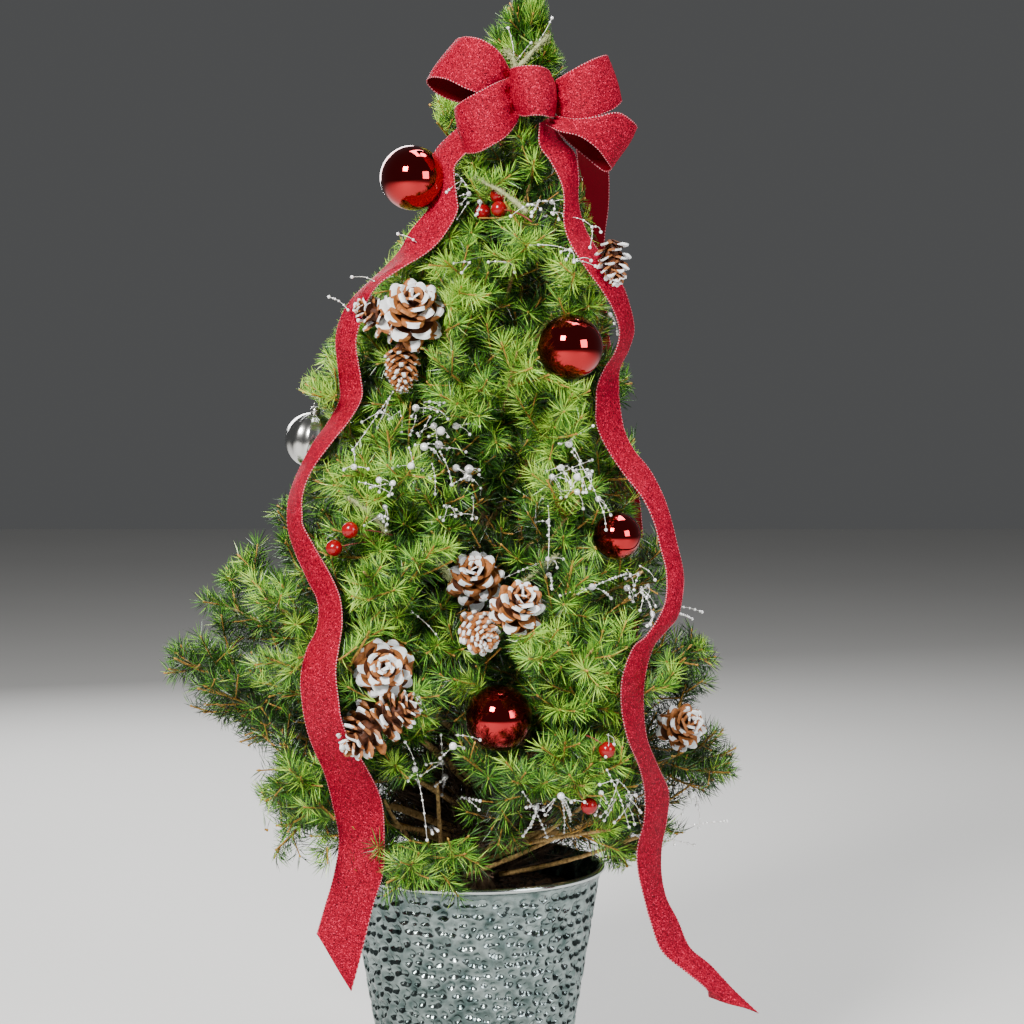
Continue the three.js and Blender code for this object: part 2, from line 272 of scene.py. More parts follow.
class Workpiece:
    """Gathers the points and faces of one piece, in millimetres, and makes its Blender object."""

    def __init__(self, name: str, slot: str, *finishes: Finish) -> None:
        """Starts an empty piece.

        Args:
            name: the piece's plain name.
            slot: the name of a material slot, which is kept on the piece but not used.
            finishes: its finishes, in the order of their numbers.
        """
        self.name = name
        self.slot = slot
        self.finishes = finishes
        self.points: list[Array] = []
        self.faces: list[Array] = []
        self.finish_numbers: list[Array] = []
        self.count = 0

    def add(self, points: Array, *faces: Array, finish: int | Sequence[int | Array] = 0) -> None:
        """Adds points and the faces between them.

        Args:
            points: the new points, as (n, 3).
            faces: groups of faces with the same number of corners, numbered from the new points.
            finish: the number of the faces' finish, or such a number, or one for each face, by group.
        """
        numbers = [finish] * len(faces) if isinstance(finish, int) else finish
        for group, number in zip(faces, numbers):
            self.faces.append(group + self.count)
            self.finish_numbers.append(np.broadcast_to(number, len(group)))
        self.points.append(points)
        self.count += len(points)

    def add_turned(self, profile: Array, sides: int, axis: Array, place: Array) -> None:
        """Adds a turned shape whose +Z lies along an axis."""
        points, *faces = turned(profile, sides)
        self.add(aimed(points, axis, place), *faces)

    def add_tube(self, line: Array, radii: float | Array, sides: int, finish: int = 0) -> None:
        """Adds one tube, with one radius, one at each of its points, or one at each corner."""
        radii = np.broadcast_to(radii, len(line)) if np.ndim(radii) < 2 else radii
        self.add(*tubes(line[None], radii[None], sides), finish=finish)

    def make(self, smooth: bool = True, replaces: Sequence[str] = ()) -> None:
        """Makes the Blender object, which rides on the one body.

        Args:
            smooth: whether its faces are shaded as one smooth surface.
            replaces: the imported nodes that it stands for.
        """
        corners = np.concatenate([group.ravel() for group in self.faces])
        sizes = np.concatenate([np.full(len(group), group.shape[1]) for group in self.faces])
        starts = np.cumsum(sizes) - sizes
        mesh = bpy.data.meshes.new(self.name)
        mesh.vertices.add(self.count)
        mesh.vertices.foreach_set("co", (np.concatenate(self.points) * MM).astype(np.float32).ravel())
        mesh.loops.add(len(corners))
        mesh.loops.foreach_set("vertex_index", corners.astype(np.int32))
        mesh.polygons.add(len(sizes))
        mesh.polygons.foreach_set("loop_start", starts.astype(np.int32))
        mesh.polygons.foreach_set("material_index", np.concatenate(self.finish_numbers).astype(np.int32))
        mesh.polygons.foreach_set("use_smooth", np.full(len(sizes), smooth))
        for finish in self.finishes:
            mesh.materials.append(finish.make())
        mesh.update(calc_edges=True)
        mesh.validate()
        piece = bpy.data.objects.new(self.name, mesh)
        bpy.context.scene.collection.objects.link(piece)
        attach(piece, BODY)
        if replaces:
            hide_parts(*replaces)
        log.info("%s: %d points, %d triangles", self.name, self.count, (sizes - 2).sum())


class Wiring:
    """A material's nodes, with short calls for those that the finishes share."""

    def __init__(self, name: str, roughness: float, metallic: float = 0.0) -> None:
        """Starts a material.

        Args:
            name: the material's name.
            roughness: the surface's roughness.
            metallic: 1 for bare metal, 0 for anything else.
        """
        self.material = bpy.data.materials.new(name)
        self.material.use_nodes = True
        self.tree = self.material.node_tree
        self.shader = self.tree.nodes["Principled BSDF"]
        self.place = self.node("ShaderNodeTexCoord").outputs["Object"]
        self.set(Roughness=roughness, Metallic=metallic)

    def feed(self, node: bpy.types.Node, values: dict[str, Value]) -> None:
        """Gives a node's sockets their values.

        Args:
            node: the node.
            values: a constant or a source by the name of each socket, with _ for a space.
        """
        for name, value in values.items():
            socket = node.inputs[name.replace("_", " ")]
            if isinstance(value, Socket):
                self.tree.links.new(value, socket)
            else:
                socket.default_value = value

    def set(self, **values: Value) -> None:
        """Gives the shader's own sockets their values."""
        self.feed(self.shader, values)

    def node(self, kind: str, **values: Value) -> bpy.types.Node:
        """Adds a node and gives its sockets their values."""
        node = self.tree.nodes.new(kind)
        self.feed(node, values)
        return node

    def scaled(self, size: float, stretch: Triple = (1, 1, 1)) -> Socket:
        """Gives the place on the surface, counted in steps of a size in millimetres."""
        scale = [1 / (size * MM * factor) for factor in stretch]
        return self.node("ShaderNodeMapping", Vector=self.place, Scale=scale).outputs["Vector"]

    def noise(self, size: float, detail: float = 3.0, stretch: Triple = (1, 1, 1)) -> Socket:
        """Gives soft noise from 0 to 1, of a size in millimetres and stretched along the axes."""
        place = self.scaled(size, stretch)
        return self.node("ShaderNodeTexNoise", Vector=place, Scale=1.0, Detail=detail).outputs["Fac"]

    def cells(self, size: float, output: str = "Color") -> Socket:
        """Gives one output of a pattern of small cells, of a size in millimetres."""
        return self.node("ShaderNodeTexVoronoi", Vector=self.scaled(size), Scale=1.0).outputs[output]

    def ramp(self, source: Socket, *stops: tuple[float, Colour]) -> Socket:
        """Colours a number.

        Args:
            source: the number from 0 to 1.
            stops: positions and their colours.

        Returns:
            The colour.
        """
        node = self.node("ShaderNodeValToRGB", Fac=source)
        elements = node.color_ramp.elements
        while len(elements) < len(stops):
            elements.new(0.5)
        for element, (position, colour) in zip(elements, stops):
            element.position = position
            element.color = (*colour, 1.0)
        return node.outputs["Color"]

    def between(self, source: Socket, low: float, high: float) -> Socket:
        """Spreads a number from 0 to 1 over the values from low to high."""
        return self.node("ShaderNodeMapRange", Value=source, To_Min=low, To_Max=high).outputs["Result"]

    def bump(self, height: Socket, depth: float, strength: float = 1.0) -> None:
        """Adds fine relief to the shader, of a depth in millimetres."""
        node = self.node("ShaderNodeBump", Height=height, Distance=depth * MM, Strength=strength)
        self.set(Normal=node.outputs["Normal"])


def shade(colour: Colour, factor: float) -> Colour:
    """Makes a colour lighter or darker."""
    return tuple(min(1.0, part * factor) for part in colour)


@dataclass(frozen=True)
class NeedleFinish:
    """The waxy green of the needles of one tone."""

    name: str
    colour: Colour
    roughness: float = 0.36

    @cache
    def make(self) -> Material:
        """Makes the material."""
        wiring = Wiring(self.name, self.roughness)
        wiring.set(Base_Color=(*self.colour, 1.0), Specular_IOR_Level=0.6)
        return wiring.material


@dataclass(frozen=True)
class BarkFinish:
    """Bark, with fine cracks along the limb."""

    name: str
    dark: Colour
    light: Colour
    grain: float
    depth: float

    @cache
    def make(self) -> Material:
        """Makes the material."""
        wiring = Wiring(self.name, 0.82)
        grain = wiring.noise(self.grain, 6, (1, 1, 2.2))
        stops = (0.3, self.dark), (0.52, shade(self.light, 0.7)), (0.72, self.light)
        wiring.set(Base_Color=wiring.ramp(grain, *stops))
        wiring.bump(grain, self.depth)
        return wiring.material


TRUNK_BARK = BarkFinish("bark", (0.03, 0.017, 0.01), (0.22, 0.13, 0.065), 3.0, 0.9)
GOLDEN_BARK = BarkFinish("golden_bark", (0.16, 0.075, 0.022), (0.66, 0.42, 0.15), 2.4, 0.6)
YOUNG_BARK = BarkFinish("young_bark", (0.27, 0.11, 0.015), (0.62, 0.34, 0.06), 2.0, 0.3)
DRY_BARK = BarkFinish("dry_brush", (0.02, 0.011, 0.007), (0.1, 0.055, 0.027), 2.0, 0.3)


@dataclass(frozen=True)
class GlitterFinish:
    """Cloth covered in fine glitter, whose brightest flecks are painted glints."""

    name: str = "ribbon_glitter"
    deep: Colour = (0.06, 0.0, 0.003)
    body: Colour = (0.32, 0.0, 0.018)
    fleck_glint: Colour = (0.9, 0.03, 0.1)
    grain: float = 0.85

    @cache
    def make(self) -> Material:
        """Makes the material."""
        wiring = Wiring(self.name, 0.5)
        flecks = wiring.cells(self.grain)
        cloth = (0.42, shade(self.body, 0.75)), (0.74, shade(self.body, 1.15))
        # The brightest cells take the fleck colour, a painted glint on the glitter; the other cells vary
        # in tone at random.
        tone = wiring.ramp(flecks, (0.14, self.deep), *cloth, (0.94, self.fleck_glint))
        wiring.set(Base_Color=tone, Specular_IOR_Level=0.1, Roughness=wiring.between(flecks, 0.4, 0.8))
        wiring.bump(wiring.cells(self.grain, "Distance"), 0.5, 0.8)
        return wiring.material


@dataclass(frozen=True)
class SatinFinish:
    """The ribbon's plain woven back."""

    name: str = "ribbon_satin"
    colour: Colour = (0.11, 0.0, 0.004)

    @cache
    def make(self) -> Material:
        """Makes the material."""
        wiring = Wiring(self.name, 0.7)
        weave = wiring.noise(0.7, 2)
        stops = (0.35, shade(self.colour, 0.8)), (0.65, shade(self.colour, 1.25))
        wiring.set(Base_Color=wiring.ramp(weave, *stops), Specular_IOR_Level=0.06)
        wiring.bump(weave, 0.08)
        return wiring.material


@dataclass(frozen=True)
class PlainFinish:
    """A coloured surface with a slight mottle and grain."""

    name: str
    colour: Colour
    roughness: float
    metallic: float = 0.0
    coat: float = 0.0
    grain: float = 4.0
    mottle: float = 0.08
    depth: float = 0.0

    @cache
    def make(self) -> Material:
        """Makes the material."""
        wiring = Wiring(self.name, self.roughness, self.metallic)
        grain = wiring.noise(self.grain, 4)
        stops = (0.3, shade(self.colour, 1 - self.mottle)), (0.7, shade(self.colour, 1 + self.mottle))
        wiring.set(Base_Color=wiring.ramp(grain, *stops))
        if self.coat:
            wiring.set(Coat_Weight=self.coat, Coat_Roughness=0.04)
        if self.depth:
            wiring.bump(grain, self.depth)
        return wiring.material


@dataclass(frozen=True)
class HammeredSteelFinish:
    """Galvanised steel, whose zinc has a faint spangle and dull patches."""

    name: str = "pail_steel"
    dark: Colour = (0.075, 0.115, 0.11)
    light: Colour = (0.33, 0.4, 0.39)

    @cache
    def make(self) -> Material:
        """Makes the material."""
        wiring = Wiring(self.name, 0.3, 1.0)
        patches = wiring.ramp(wiring.noise(14, 5), (0.3, self.dark), (0.7, self.light))
        wiring.set(Base_Color=patches, Roughness=wiring.between(wiring.noise(6, 4), 0.17, 0.3))
        wiring.bump(wiring.cells(9.0, "Distance"), 2.0, 0.4)
        return wiring.material


@dataclass(frozen=True)
class CompostFinish:
    """Dark potting compost with pale fibres of peat."""

    name: str = "compost"
    damp: Colour = (0.008, 0.005, 0.003)
    crumb: Colour = (0.03, 0.018, 0.01)
    fibre: Colour = (0.11, 0.065, 0.035)

    @cache
    def make(self) -> Material:
        """Makes the material."""
        wiring = Wiring(self.name, 0.95)
        stops = (0.1, self.damp), (0.6, self.crumb), (0.92, self.fibre)
        wiring.set(Base_Color=wiring.ramp(wiring.cells(2.6), *stops))
        wiring.bump(wiring.noise(2.0, 6), 1.2)
        return wiring.material


@dataclass(frozen=True)
class PhotoCamera:
    """The camera that took the photo, a little above the tree's middle and level with its front."""

    x: float = 38.0
    y: float = -2600.0
    z: float = 779.0
    down: float = 3.83
    focal: float = 2600.0
    frame_side: int = 1024
    sensor: float = 36.0

    def tilt(self) -> Pair:
        """Gives the cosine and sine of the angle at which the camera looks down."""
        return math.cos(math.radians(self.down)), math.sin(math.radians(self.down))

    def place(self, u: float, v: float, y: float) -> Array:
        """Finds the point that shows at a pixel of the photo.

        Args:
            u: the pixel's column.
            v: the pixel's row.
            y: how deep in the part's frame the point lies.

        Returns:
            The point.
        """
        cos, sin = self.tilt()
        middle = self.frame_side / 2
        slope = (middle - v) / self.focal
        away = y - self.y
        rise = away * (slope * cos - sin) / (cos + slope * sin)
        depth = away * cos - rise * sin
        return np.array([self.x + (u - middle) * depth / self.focal, y, self.z + rise])

    def pixels(self, points: Array) -> Array:
        """Finds the pixels at which points show, as (n, 2)."""
        cos, sin = self.tilt()
        away = points - [self.x, self.y, self.z]
        depth = away[:, 1] * cos - away[:, 2] * sin
        rise = away[:, 1] * sin + away[:, 2] * cos
        middle = self.frame_side / 2
        columns = middle + self.focal * away[:, 0] / depth
        return np.stack([columns, middle - self.focal * rise / depth], axis=1)

    def cells(self, points: Array) -> Array:
        """Finds the whole rows and columns, inside the photo, at which points show."""
        return np.clip(np.round(self.pixels(points)).astype(int), 0, self.frame_side - 1).T[::-1]

    def set_up(self) -> None:
        """Adds the camera to the scene."""
        data = bpy.data.cameras.new("photo_camera")
        data.sensor_width = self.sensor
        data.lens = self.focal / self.frame_side * self.sensor
        data.clip_end = 50
        camera = bpy.data.objects.new("photo_camera", data)
        camera.location = Vector((self.x, self.y, self.z)) * MM
        camera.rotation_euler = Euler((math.radians(90 - self.down), 0, 0))
        bpy.context.scene.collection.objects.link(camera)
        bpy.context.scene.camera = camera


CAMERA = PhotoCamera()


@dataclass(frozen=True)
class Silhouette:
    """The crown's left and right edges as the photo shows them, as row and column pairs."""

    left: tuple[Pair, ...] = (
        (-30, 522), (0, 513), (20, 486), (45, 483), (70, 470), (95, 430), (125, 436), (140, 452),
        (190, 440), (215, 415), (235, 400), (260, 385), (285, 362), (300, 348), (330, 334), (345, 322),
        (370, 308), (388, 297), (405, 318), (430, 326), (480, 294), (495, 280), (505, 266), (520, 256),
        (530, 240), (560, 230), (580, 203), (590, 190), (622, 193), (635, 170), (650, 160), (682, 163),
        (700, 178), (720, 205), (742, 238), (755, 262), (785, 250), (812, 262), (822, 274), (862, 272),
        (885, 290), (900, 330),
    )
    right: tuple[Pair, ...] = (
        (-30, 542), (0, 546), (40, 552), (60, 566), (120, 562), (200, 588), (260, 602), (300, 612),
        (350, 622), (370, 630), (400, 637), (430, 634), (470, 642), (500, 655), (540, 668), (600, 674),
        (620, 690), (640, 712), (660, 722), (690, 720), (708, 704), (722, 722), (745, 736), (770, 742),
        (800, 737), (820, 706), (845, 664), (870, 625), (890, 600),
    )

    def contains(self, points: Array, slack: float = 0.0) -> Array:
        """Tells which points show inside the edges, or at most the slack outside them."""
        columns, rows = CAMERA.pixels(points).T
        left = np.interp(rows, *np.array(self.left).T) - slack
        right = np.interp(rows, *np.array(self.right).T) + slack
        return (columns > left) & (columns < right)


SILHOUETTE = Silhouette()


@dataclass(frozen=True)
class Lamp:
    """One soft studio lamp, aimed at the tree."""

    name: str
    place: Triple
    side: float
    watts: float
    colour: Colour = (1.0, 1.0, 1.0)

    def set_up(self) -> None:
        """Adds the lamp, whose place and side are in metres."""
        data = bpy.data.lights.new(self.name, "AREA")
        data.shape = "SQUARE"
        data.size = self.side
        data.energy = self.watts
        data.color = self.colour
        lamp = bpy.data.objects.new(self.name, data)
        lamp.location = self.place
        aim = Vector((0, 0, 0.6)) - Vector(self.place)
        lamp.rotation_euler = aim.to_track_quat("-Z", "Y").to_euler()
        bpy.context.scene.collection.objects.link(lamp)


@dataclass(frozen=True)
class Studio:
    """A plain pale floor and soft light from the front, the sides and behind."""

    floor_side: float = 16.0
    backdrop: Colour = (0.5, 0.51, 0.52)
    glow: float = 0.16
    lamps: tuple[Lamp, ...] = (
        Lamp("key", (-1.2, -2.5, 2.4), 0.8, 225, (1.0, 0.98, 0.95)),
        Lamp("fill", (2.2, -1.9, 1.3), 1.2, 52, (0.95, 0.97, 1.0)),
        Lamp("top", (0.5, 0.4, 3.0), 1.2, 80),
        Lamp("back", (-0.9, 2.5, 1.7), 1.5, 60),
    )

    def set_up(self) -> None:
        """Adds the floor, the lamps and the glow all round."""
        half = self.floor_side / 2
        mesh = bpy.data.meshes.new("studio_floor")
        corners = [(-half, -half, 0), (half, -half, 0), (half, half, 0), (-half, half, 0)]
        mesh.from_pydata(corners, [], [(0, 1, 2, 3)])
        finish = PlainFinish("studio_floor", (0.66, 0.655, 0.64), 0.7, grain=900, mottle=0.015)
        mesh.materials.append(finish.make())
        floor = bpy.data.objects.new("studio_floor", mesh)
        bpy.context.scene.collection.objects.link(floor)
        for lamp in self.lamps:
            lamp.set_up()
        world = bpy.data.worlds.new("studio")
        world.use_nodes = True
        background = world.node_tree.nodes["Background"]
        background.inputs["Color"].default_value = (*self.backdrop, 1)
        background.inputs["Strength"].default_value = self.glow
        bpy.context.scene.world = world


@dataclass(frozen=True)
class Pail:
    """The hammered steel pail, with its rolled bead, and the compost in it."""

    height: float = 250.0
    foot_radius: float = 88.0
    mouth_radius: float = 129.0
    sheet: float = 1.6
    foot_edge: float = 1.5
    bead_radius: float = 3.0
    bead_bend: Pair = (-70.0, 150.0)
    bead_rows: int = 15
    inside_step: int = 7
    sides: int = 440
    wall_rows: int = 169
    dimple: float = 10.6
    dimple_depth: float = 4.2
    mark_reach: float = 0.72
    plain_band: float = 9.0
    compost_depth: float = 28.0
    compost_gap: float = 0.4
    compost_dome: float = 4.0
    compost_rows: int = 34
    compost_sides: int = 110
    lump: float = 1.6
    chips: int = 420
    smallest_chip: Triple = (1.6, 0.9, 0.4)
    largest_chip: Triple = (5.0, 2.4, 1.2)

    def radius(self, height: Array) -> Array:
        """Gives the pail's outer radius at a height."""
        return self.foot_radius + (self.mouth_radius - self.foot_radius) * height / self.height

    def dimples(self, angle: Array, height: Array) -> Array:
        """Gives how deep the hammer marks are.

        Args:
            angle: the places round the pail, in radians.
            height: the places' heights.

        Returns:
            The depth of the marks, from 0 on their edges to 1 in their middles.
        """
        around = round(2 * np.pi * self.radius(self.height / 2) / self.dimple)
        rows = round(self.height / self.dimple)
        u = angle / (2 * np.pi) * around
        v = height / self.height * rows
        nearest = np.full(angle.shape, 9.0)
        draw = np.random.default_rng(11)
        drift = draw.uniform(0.16, 0.84, (around, rows + 4, 2))
        drift[:, ::2, 0] += 0.5
        for du in (-2, -1, 0, 1):
            for dv in (-1, 0, 1):
                column = np.floor(u).astype(int) + du
                row = np.floor(v).astype(int) + dv
                mark = drift[column % around, (row + 2) % (rows + 4)]
                far = np.hypot(u - column - mark[..., 0], v - row - mark[..., 1])
                nearest = np.minimum(nearest, far)
        return 0.5 + 0.5 * np.cos(np.pi * np.minimum(nearest / self.mark_reach, 1))

    def room(self, height: float) -> float:
        """Gives the compost's radius at a height."""
        return self.radius(height) - self.sheet - self.dimple_depth - self.compost_gap

    def build(self) -> None:
        """Builds the pail and its compost."""
        self.build_wall()
        self.build_compost()

    def build_wall(self) -> None:
        """Builds the pail's hammered wall, bead, plain inside and floor as one closed sheet."""
        angle = ring_angles(self.sides)
        under_bead = self.height - 3 * self.bead_radius
        wall_heights = np.linspace(self.foot_edge, under_bead, self.wall_rows)
        turn, height = np.meshgrid(angle, wall_heights)
        marks = self.dimples(turn, height)
        edge = smooth_step(0, self.plain_band, height - self.foot_edge)
        edge = edge * smooth_step(0, 5, under_bead - height)
        outer = self.radius(height) - self.dimple_depth * marks * edge - 0.25 * (1 - edge)
        bend = np.radians(np.linspace(*self.bead_bend, self.bead_rows))
        bead_heights = self.height - self.bead_radius + self.bead_radius * np.sin(bend)
        rings = [(self.foot_radius - self.foot_edge, 0.0)]
        rings += zip(outer, wall_heights)
        rings += zip(self.mouth_radius + self.bead_radius * np.cos(bend), bead_heights)
        down = slice(None, None, -self.inside_step)
        rings += [(row - self.sheet, z) for row, z in zip(outer[down], wall_heights[down])]
        rings += [(self.foot_radius - self.sheet, self.sheet)]
        radii = np.stack([np.broadcast_to(radius, self.sides) for radius, _ in rings])
        points = round_points(radii, angle, np.array([[z] for _, z in rings]))
        poles = np.array([[0, 0, 0.0], [0, 0, self.sheet]])
        row = np.arange(len(rings) - 1).repeat(self.sides)
        on_bead = (row > len(outer)) & (row < len(outer) + len(bend))
        walls = grid_faces(len(rings), self.sides, wraps=True)
        ends = end_fans(self.sides, len(rings))
        bright = PlainFinish("pail_bead", (0.6, 0.65, 0.64), 0.18, 1.0, mottle=0.05)
        piece = Workpiece("pail_hammered", "pail_steel", HammeredSteelFinish(), bright)
        piece.add(np.concatenate([points, poles]), walls, ends, finish=[on_bead.astype(int), 0])
        piece.make(replaces=["pail"])

    def build_compost(self) -> None:
        """Builds the crumbly top of the compost, its plain sides, and bark chips on it."""
        top = self.height - self.compost_depth
        rows, sides = self.compost_rows, self.compost_sides
        room = self.room(top)
        angle = ring_angles(sides)
        turn, reach = np.meshgrid(angle, np.linspace(room, 2.0, rows))
        draw = np.random.default_rng(5)
        lumps = draw.uniform(-1, 1, (rows, sides)) * self.lump
        lumps = lumps * smooth_step(0, 8, room - reach) * smooth_step(14, 26, reach)
        surface = round_points(reach, turn, top - self.compost_dome * reach / room + lumps)
        floor = self.sheet + 0.3
        foot = round_points(self.room(floor), angle, floor)
        points = np.concatenate([foot, surface, [[0, 0, floor], [0, 0, top]]])
        chip = PlainFinish("bark_chip", (0.09, 0.045, 0.022), 0.9, mottle=0.4)
        piece = Workpiece("compost_top", "compost", CompostFinish(), chip)
        piece.add(points, grid_faces(rows + 1, sides, wraps=True), end_fans(sides, rows + 1))
        for _ in range(self.chips):
            self.add_chip(piece, top, draw)
        piece.make(smooth=False, replaces=["compost"])

    def add_chip(self, piece: Workpiece, top: float, draw: Draw) -> None:
        """Adds one flat chip of bark, lying askew on the compost.

        Args:
            piece: the piece that takes it.
            top: the height of the compost's middle.
            draw: the fixed random numbers.
        """
        block = np.array([(x, y, z) for x in (-1, 1) for y in (-1, 1) for z in (-1, 1)], float)
        faces = (0, 1, 3, 2), (4, 6, 7, 5), (0, 4, 5, 1), (2, 3, 7, 6), (0, 2, 6, 4), (1, 5, 7, 3)
        room = self.room(top)
        far = room * math.sqrt(draw.uniform(0.05, 0.93))
        turn = draw.uniform(0, 2 * np.pi)
        size = draw.uniform(self.smallest_chip, self.largest_chip)
        shape = block * size * draw.uniform(0.75, 1.15, (8, 1))
        tilt = draw.uniform(-0.5, 0.5, 3)
        spin = draw.uniform(0, 2 * np.pi)
        cos, sin = math.cos(spin), math.sin(spin)
        flat = np.array([[cos, sin, 0], [-sin, cos, 0], [0, 0, 1]])
        place = round_points(far, turn, top - self.compost_dome * far / room + 0.8)
        axis = np.array([tilt[0], tilt[1], 1.0])
        piece.add(aimed(shape @ flat, axis, place), np.array(faces), finish=1)


PLANT_FOOT = np.array([0.0, 0.0, 222.3])


def curve_at(curves: Array, shares: Array) -> Array:
    """Finds points on one curve or on many.

    Args:
        curves: the foot, middle and tip of each curve, as (3, 3) or (n, 3, 3).
        shares: how far along the points lie, as (k) or (n, k).

    Returns:
        The points, as (k, 3) or (n, k, 3).
    """
    t = shares[..., None]
    foot, middle, tip = (curves[..., None, k, :] for k in range(3))
    return (1 - t) ** 2 * foot + 2 * (1 - t) * t * middle + t**2 * tip


def heading_at(curves: Array, shares: Array) -> Array:
    """Finds the headings of curves, with the same arguments as curve_at."""
    t = shares[..., None]
    foot, middle, tip = (curves[..., None, k, :] for k in range(3))
    return unit((1 - t) * (middle - foot) + t * (tip - middle))


def point_at(curves: Array, share: float | Array) -> Array:
    """Finds one point on each of many curves, all at one share of the length or each at its own."""
    return curve_at(curves, np.broadcast_to(share, len(curves))[:, None])[:, 0]


def frames_of(headings: Array) -> tuple[Array, Array]:
    """Gives two directions square to each heading, the first of them level."""
    upright = np.abs(headings[..., 2:]) > 0.97
    side = unit(np.cross(headings, np.where(upright, LEVEL, UP)))
    return side, unit(np.cross(side, headings))


def lengths_of(curves: Array) -> Array:
    """Gives the length from foot to tip of each curve."""
    return np.linalg.norm(curves[..., 2, :] - curves[..., 0, :], axis=-1)


def cut_at(curves: Array, shares: Array) -> Array:
    """Cuts each curve off at its own share of its length."""
    foot, middle = curves[:, 0], curves[:, 1]
    return np.stack([foot, foot + (middle - foot) * shares[:, None], point_at(curves, shares)], axis=1)


def run_of(curves: Array, is_free: Callable[[Array], Array]) -> Array:
    """Finds the share of its length that each curve runs before it meets something.

    Args:
        curves: the curves.
        is_free: tells which points are free.

    Returns:
        A share from 0.1 to 1 for each curve.
    """
    shares = np.full(len(curves), 0.1)
    free = np.ones(len(curves), bool)
    for step in np.linspace(0.2, 1, 9):
        free &= is_free(point_at(curves, step))
        shares[free] = step
    return shares


@dataclass(frozen=True)
class Trunk:
    """The leaning trunk, with its true taper and root flare."""

    height: float = 778.0
    foot_radius: float = 11.5
    tip_radius: float = 2.4
    taper_power: float = 0.9
    flare: float = 7.0
    flare_height: float = 20.0
    flare_lobes: int = 5
    flare_depth: float = 0.28
    lean: float = 48.0
    lean_power: float = 1.5
    sway_across: float = 7.0
    sway_deep: float = 3.5

    def at(self, share: Array) -> Array:
        """Finds points on the trunk's middle line."""
        share = np.asarray(share, float)
        rise = np.maximum(share, 0)
        across = self.lean * rise**self.lean_power - self.sway_across * np.sin(np.pi * rise)
        deep = self.sway_deep * np.sin(2 * np.pi * rise)
        return np.stack([across, deep, self.height * share], axis=-1) + PLANT_FOOT

    def radii(self, share: Array, angle: Array) -> Array:
        """Gives the trunk's radius at each share of its height and each angle, flare and all."""
        rise = share[:, None] * self.height
        taper = (1 - share[:, None]) ** self.taper_power
        plain = self.tip_radius + (self.foot_radius - self.tip_radius) * taper
        fade = np.exp(-rise / self.flare_height)
        lobes = 1 + self.flare_depth * fade * np.cos(self.flare_lobes * angle)
        return (plain + self.flare * fade) * lobes


@dataclass(frozen=True)
class Tier:
    """One whorl of limbs round the trunk."""

    name: str
    count: int
    turn: float
    foot: float
    tip: float
    left: float
    right: float
    bare: float
    arch: float
    twigs: int


TIERS = (
    Tier("rim", 5, 36, 28, 40, 212, 186, 0.42, 46, 3),
    Tier("skirt", 5, 0, 62, 112, 252, 262, 0.4, 22, 4),
    Tier("wide", 6, 0, 98, 244, 304, 242, 0.38, -6, 4),
    Tier("waist", 5, 36, 206, 324, 262, 196, 0, 4, 4),
    Tier("middle", 4, 60, 306, 426, 218, 174, 0, 4, 4),
    Tier("chest", 4, 10, 404, 516, 166, 152, 0, 4, 4),
    Tier("neck", 4, 55, 496, 602, 132, 148, 0, 4, 3),
    Tier("collar", 3, 0, 584, 684, 76, 120, 0, 4, 3),
    Tier("crest", 3, 60, 666, 770, 38, 88, 0, 2, 2),
)


@dataclass(eq=False)
class Limb:
    """One limb, or the leader, and the foliage that it carries."""

    name: str
    seed: int
    curve: Array
    bare: float
    twigs: int
    spread: float = 0.72
    level: bool = False
    samples: Array = field(init=False)

    def __post_init__(self) -> None:
        """Marks the points by which the limb claims its own space."""
        self.samples = curve_at(self.curve, self.bare + (1 - self.bare) * np.arange(1, 9) / 8)

    def shorten(self, is_free: Callable[[Array], Array]) -> None:
        """Cuts the limb off where it meets something, but leaves half of it at the least."""
        share = run_of(self.curve[None], is_free)
        self.curve = cut_at(self.curve[None], np.maximum(share, 0.5))[0]

    @property
    def length(self) -> float:
        """Gives the length from the limb's foot to its tip."""
        return float(lengths_of(self.curve))

    @property
    def mass(self) -> str:
        """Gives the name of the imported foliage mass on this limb."""
        return f"foliage_{self.name}"


@dataclass(frozen=True)
class TwigRule:
    """The source's rule for the twigs along a limb."""

    angle: float = math.radians(52)
    roll_play: float = 90.0
    flatten: float = 0.75
    tip_shoot: float = 34.0
    curl: float = 0.12
    first: float = 0.2
    last: float = 0.76
    shortest: float = 42.0
    shorten: float = 0.86
    margin: float = 4.0

    def curve(self, limb: Limb, index: float, scale: float) -> Array:
        """Draws a twig on a limb.

        Args:
            limb: the limb it stands on.
            index: its number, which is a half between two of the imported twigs.
            scale: how much of its full length it has.

        Returns:
            The twig's foot, middle and tip.
        """
        step = self.first + (self.last - self.first) * index / max(limb.twigs - 1, 1)
        along = np.array([limb.bare + (1 - limb.bare) * step])
        root = curve_at(limb.curve, along)[0]
        heading = heading_at(limb.curve, along)[0]
        side, lift = frames_of(heading)
        turn = 360 / limb.twigs if limb.level else 180
        roll = math.radians(turn * index + self.roll_play * 0.5 * either(limb.seed, 20 + index))
        across = side * math.cos(roll) + lift * self.flatten * math.sin(roll)
        direction = unit(heading * math.cos(self.angle) + across * math.sin(self.angle))
        reach = limb.spread * limb.length * (1 - limb.bare) * (1 - step) + self.tip_shoot
        length = scale * reach
        middle = root + direction * length / 2
        return np.stack([root, middle, root + direction * length + UP * self.curl * length])


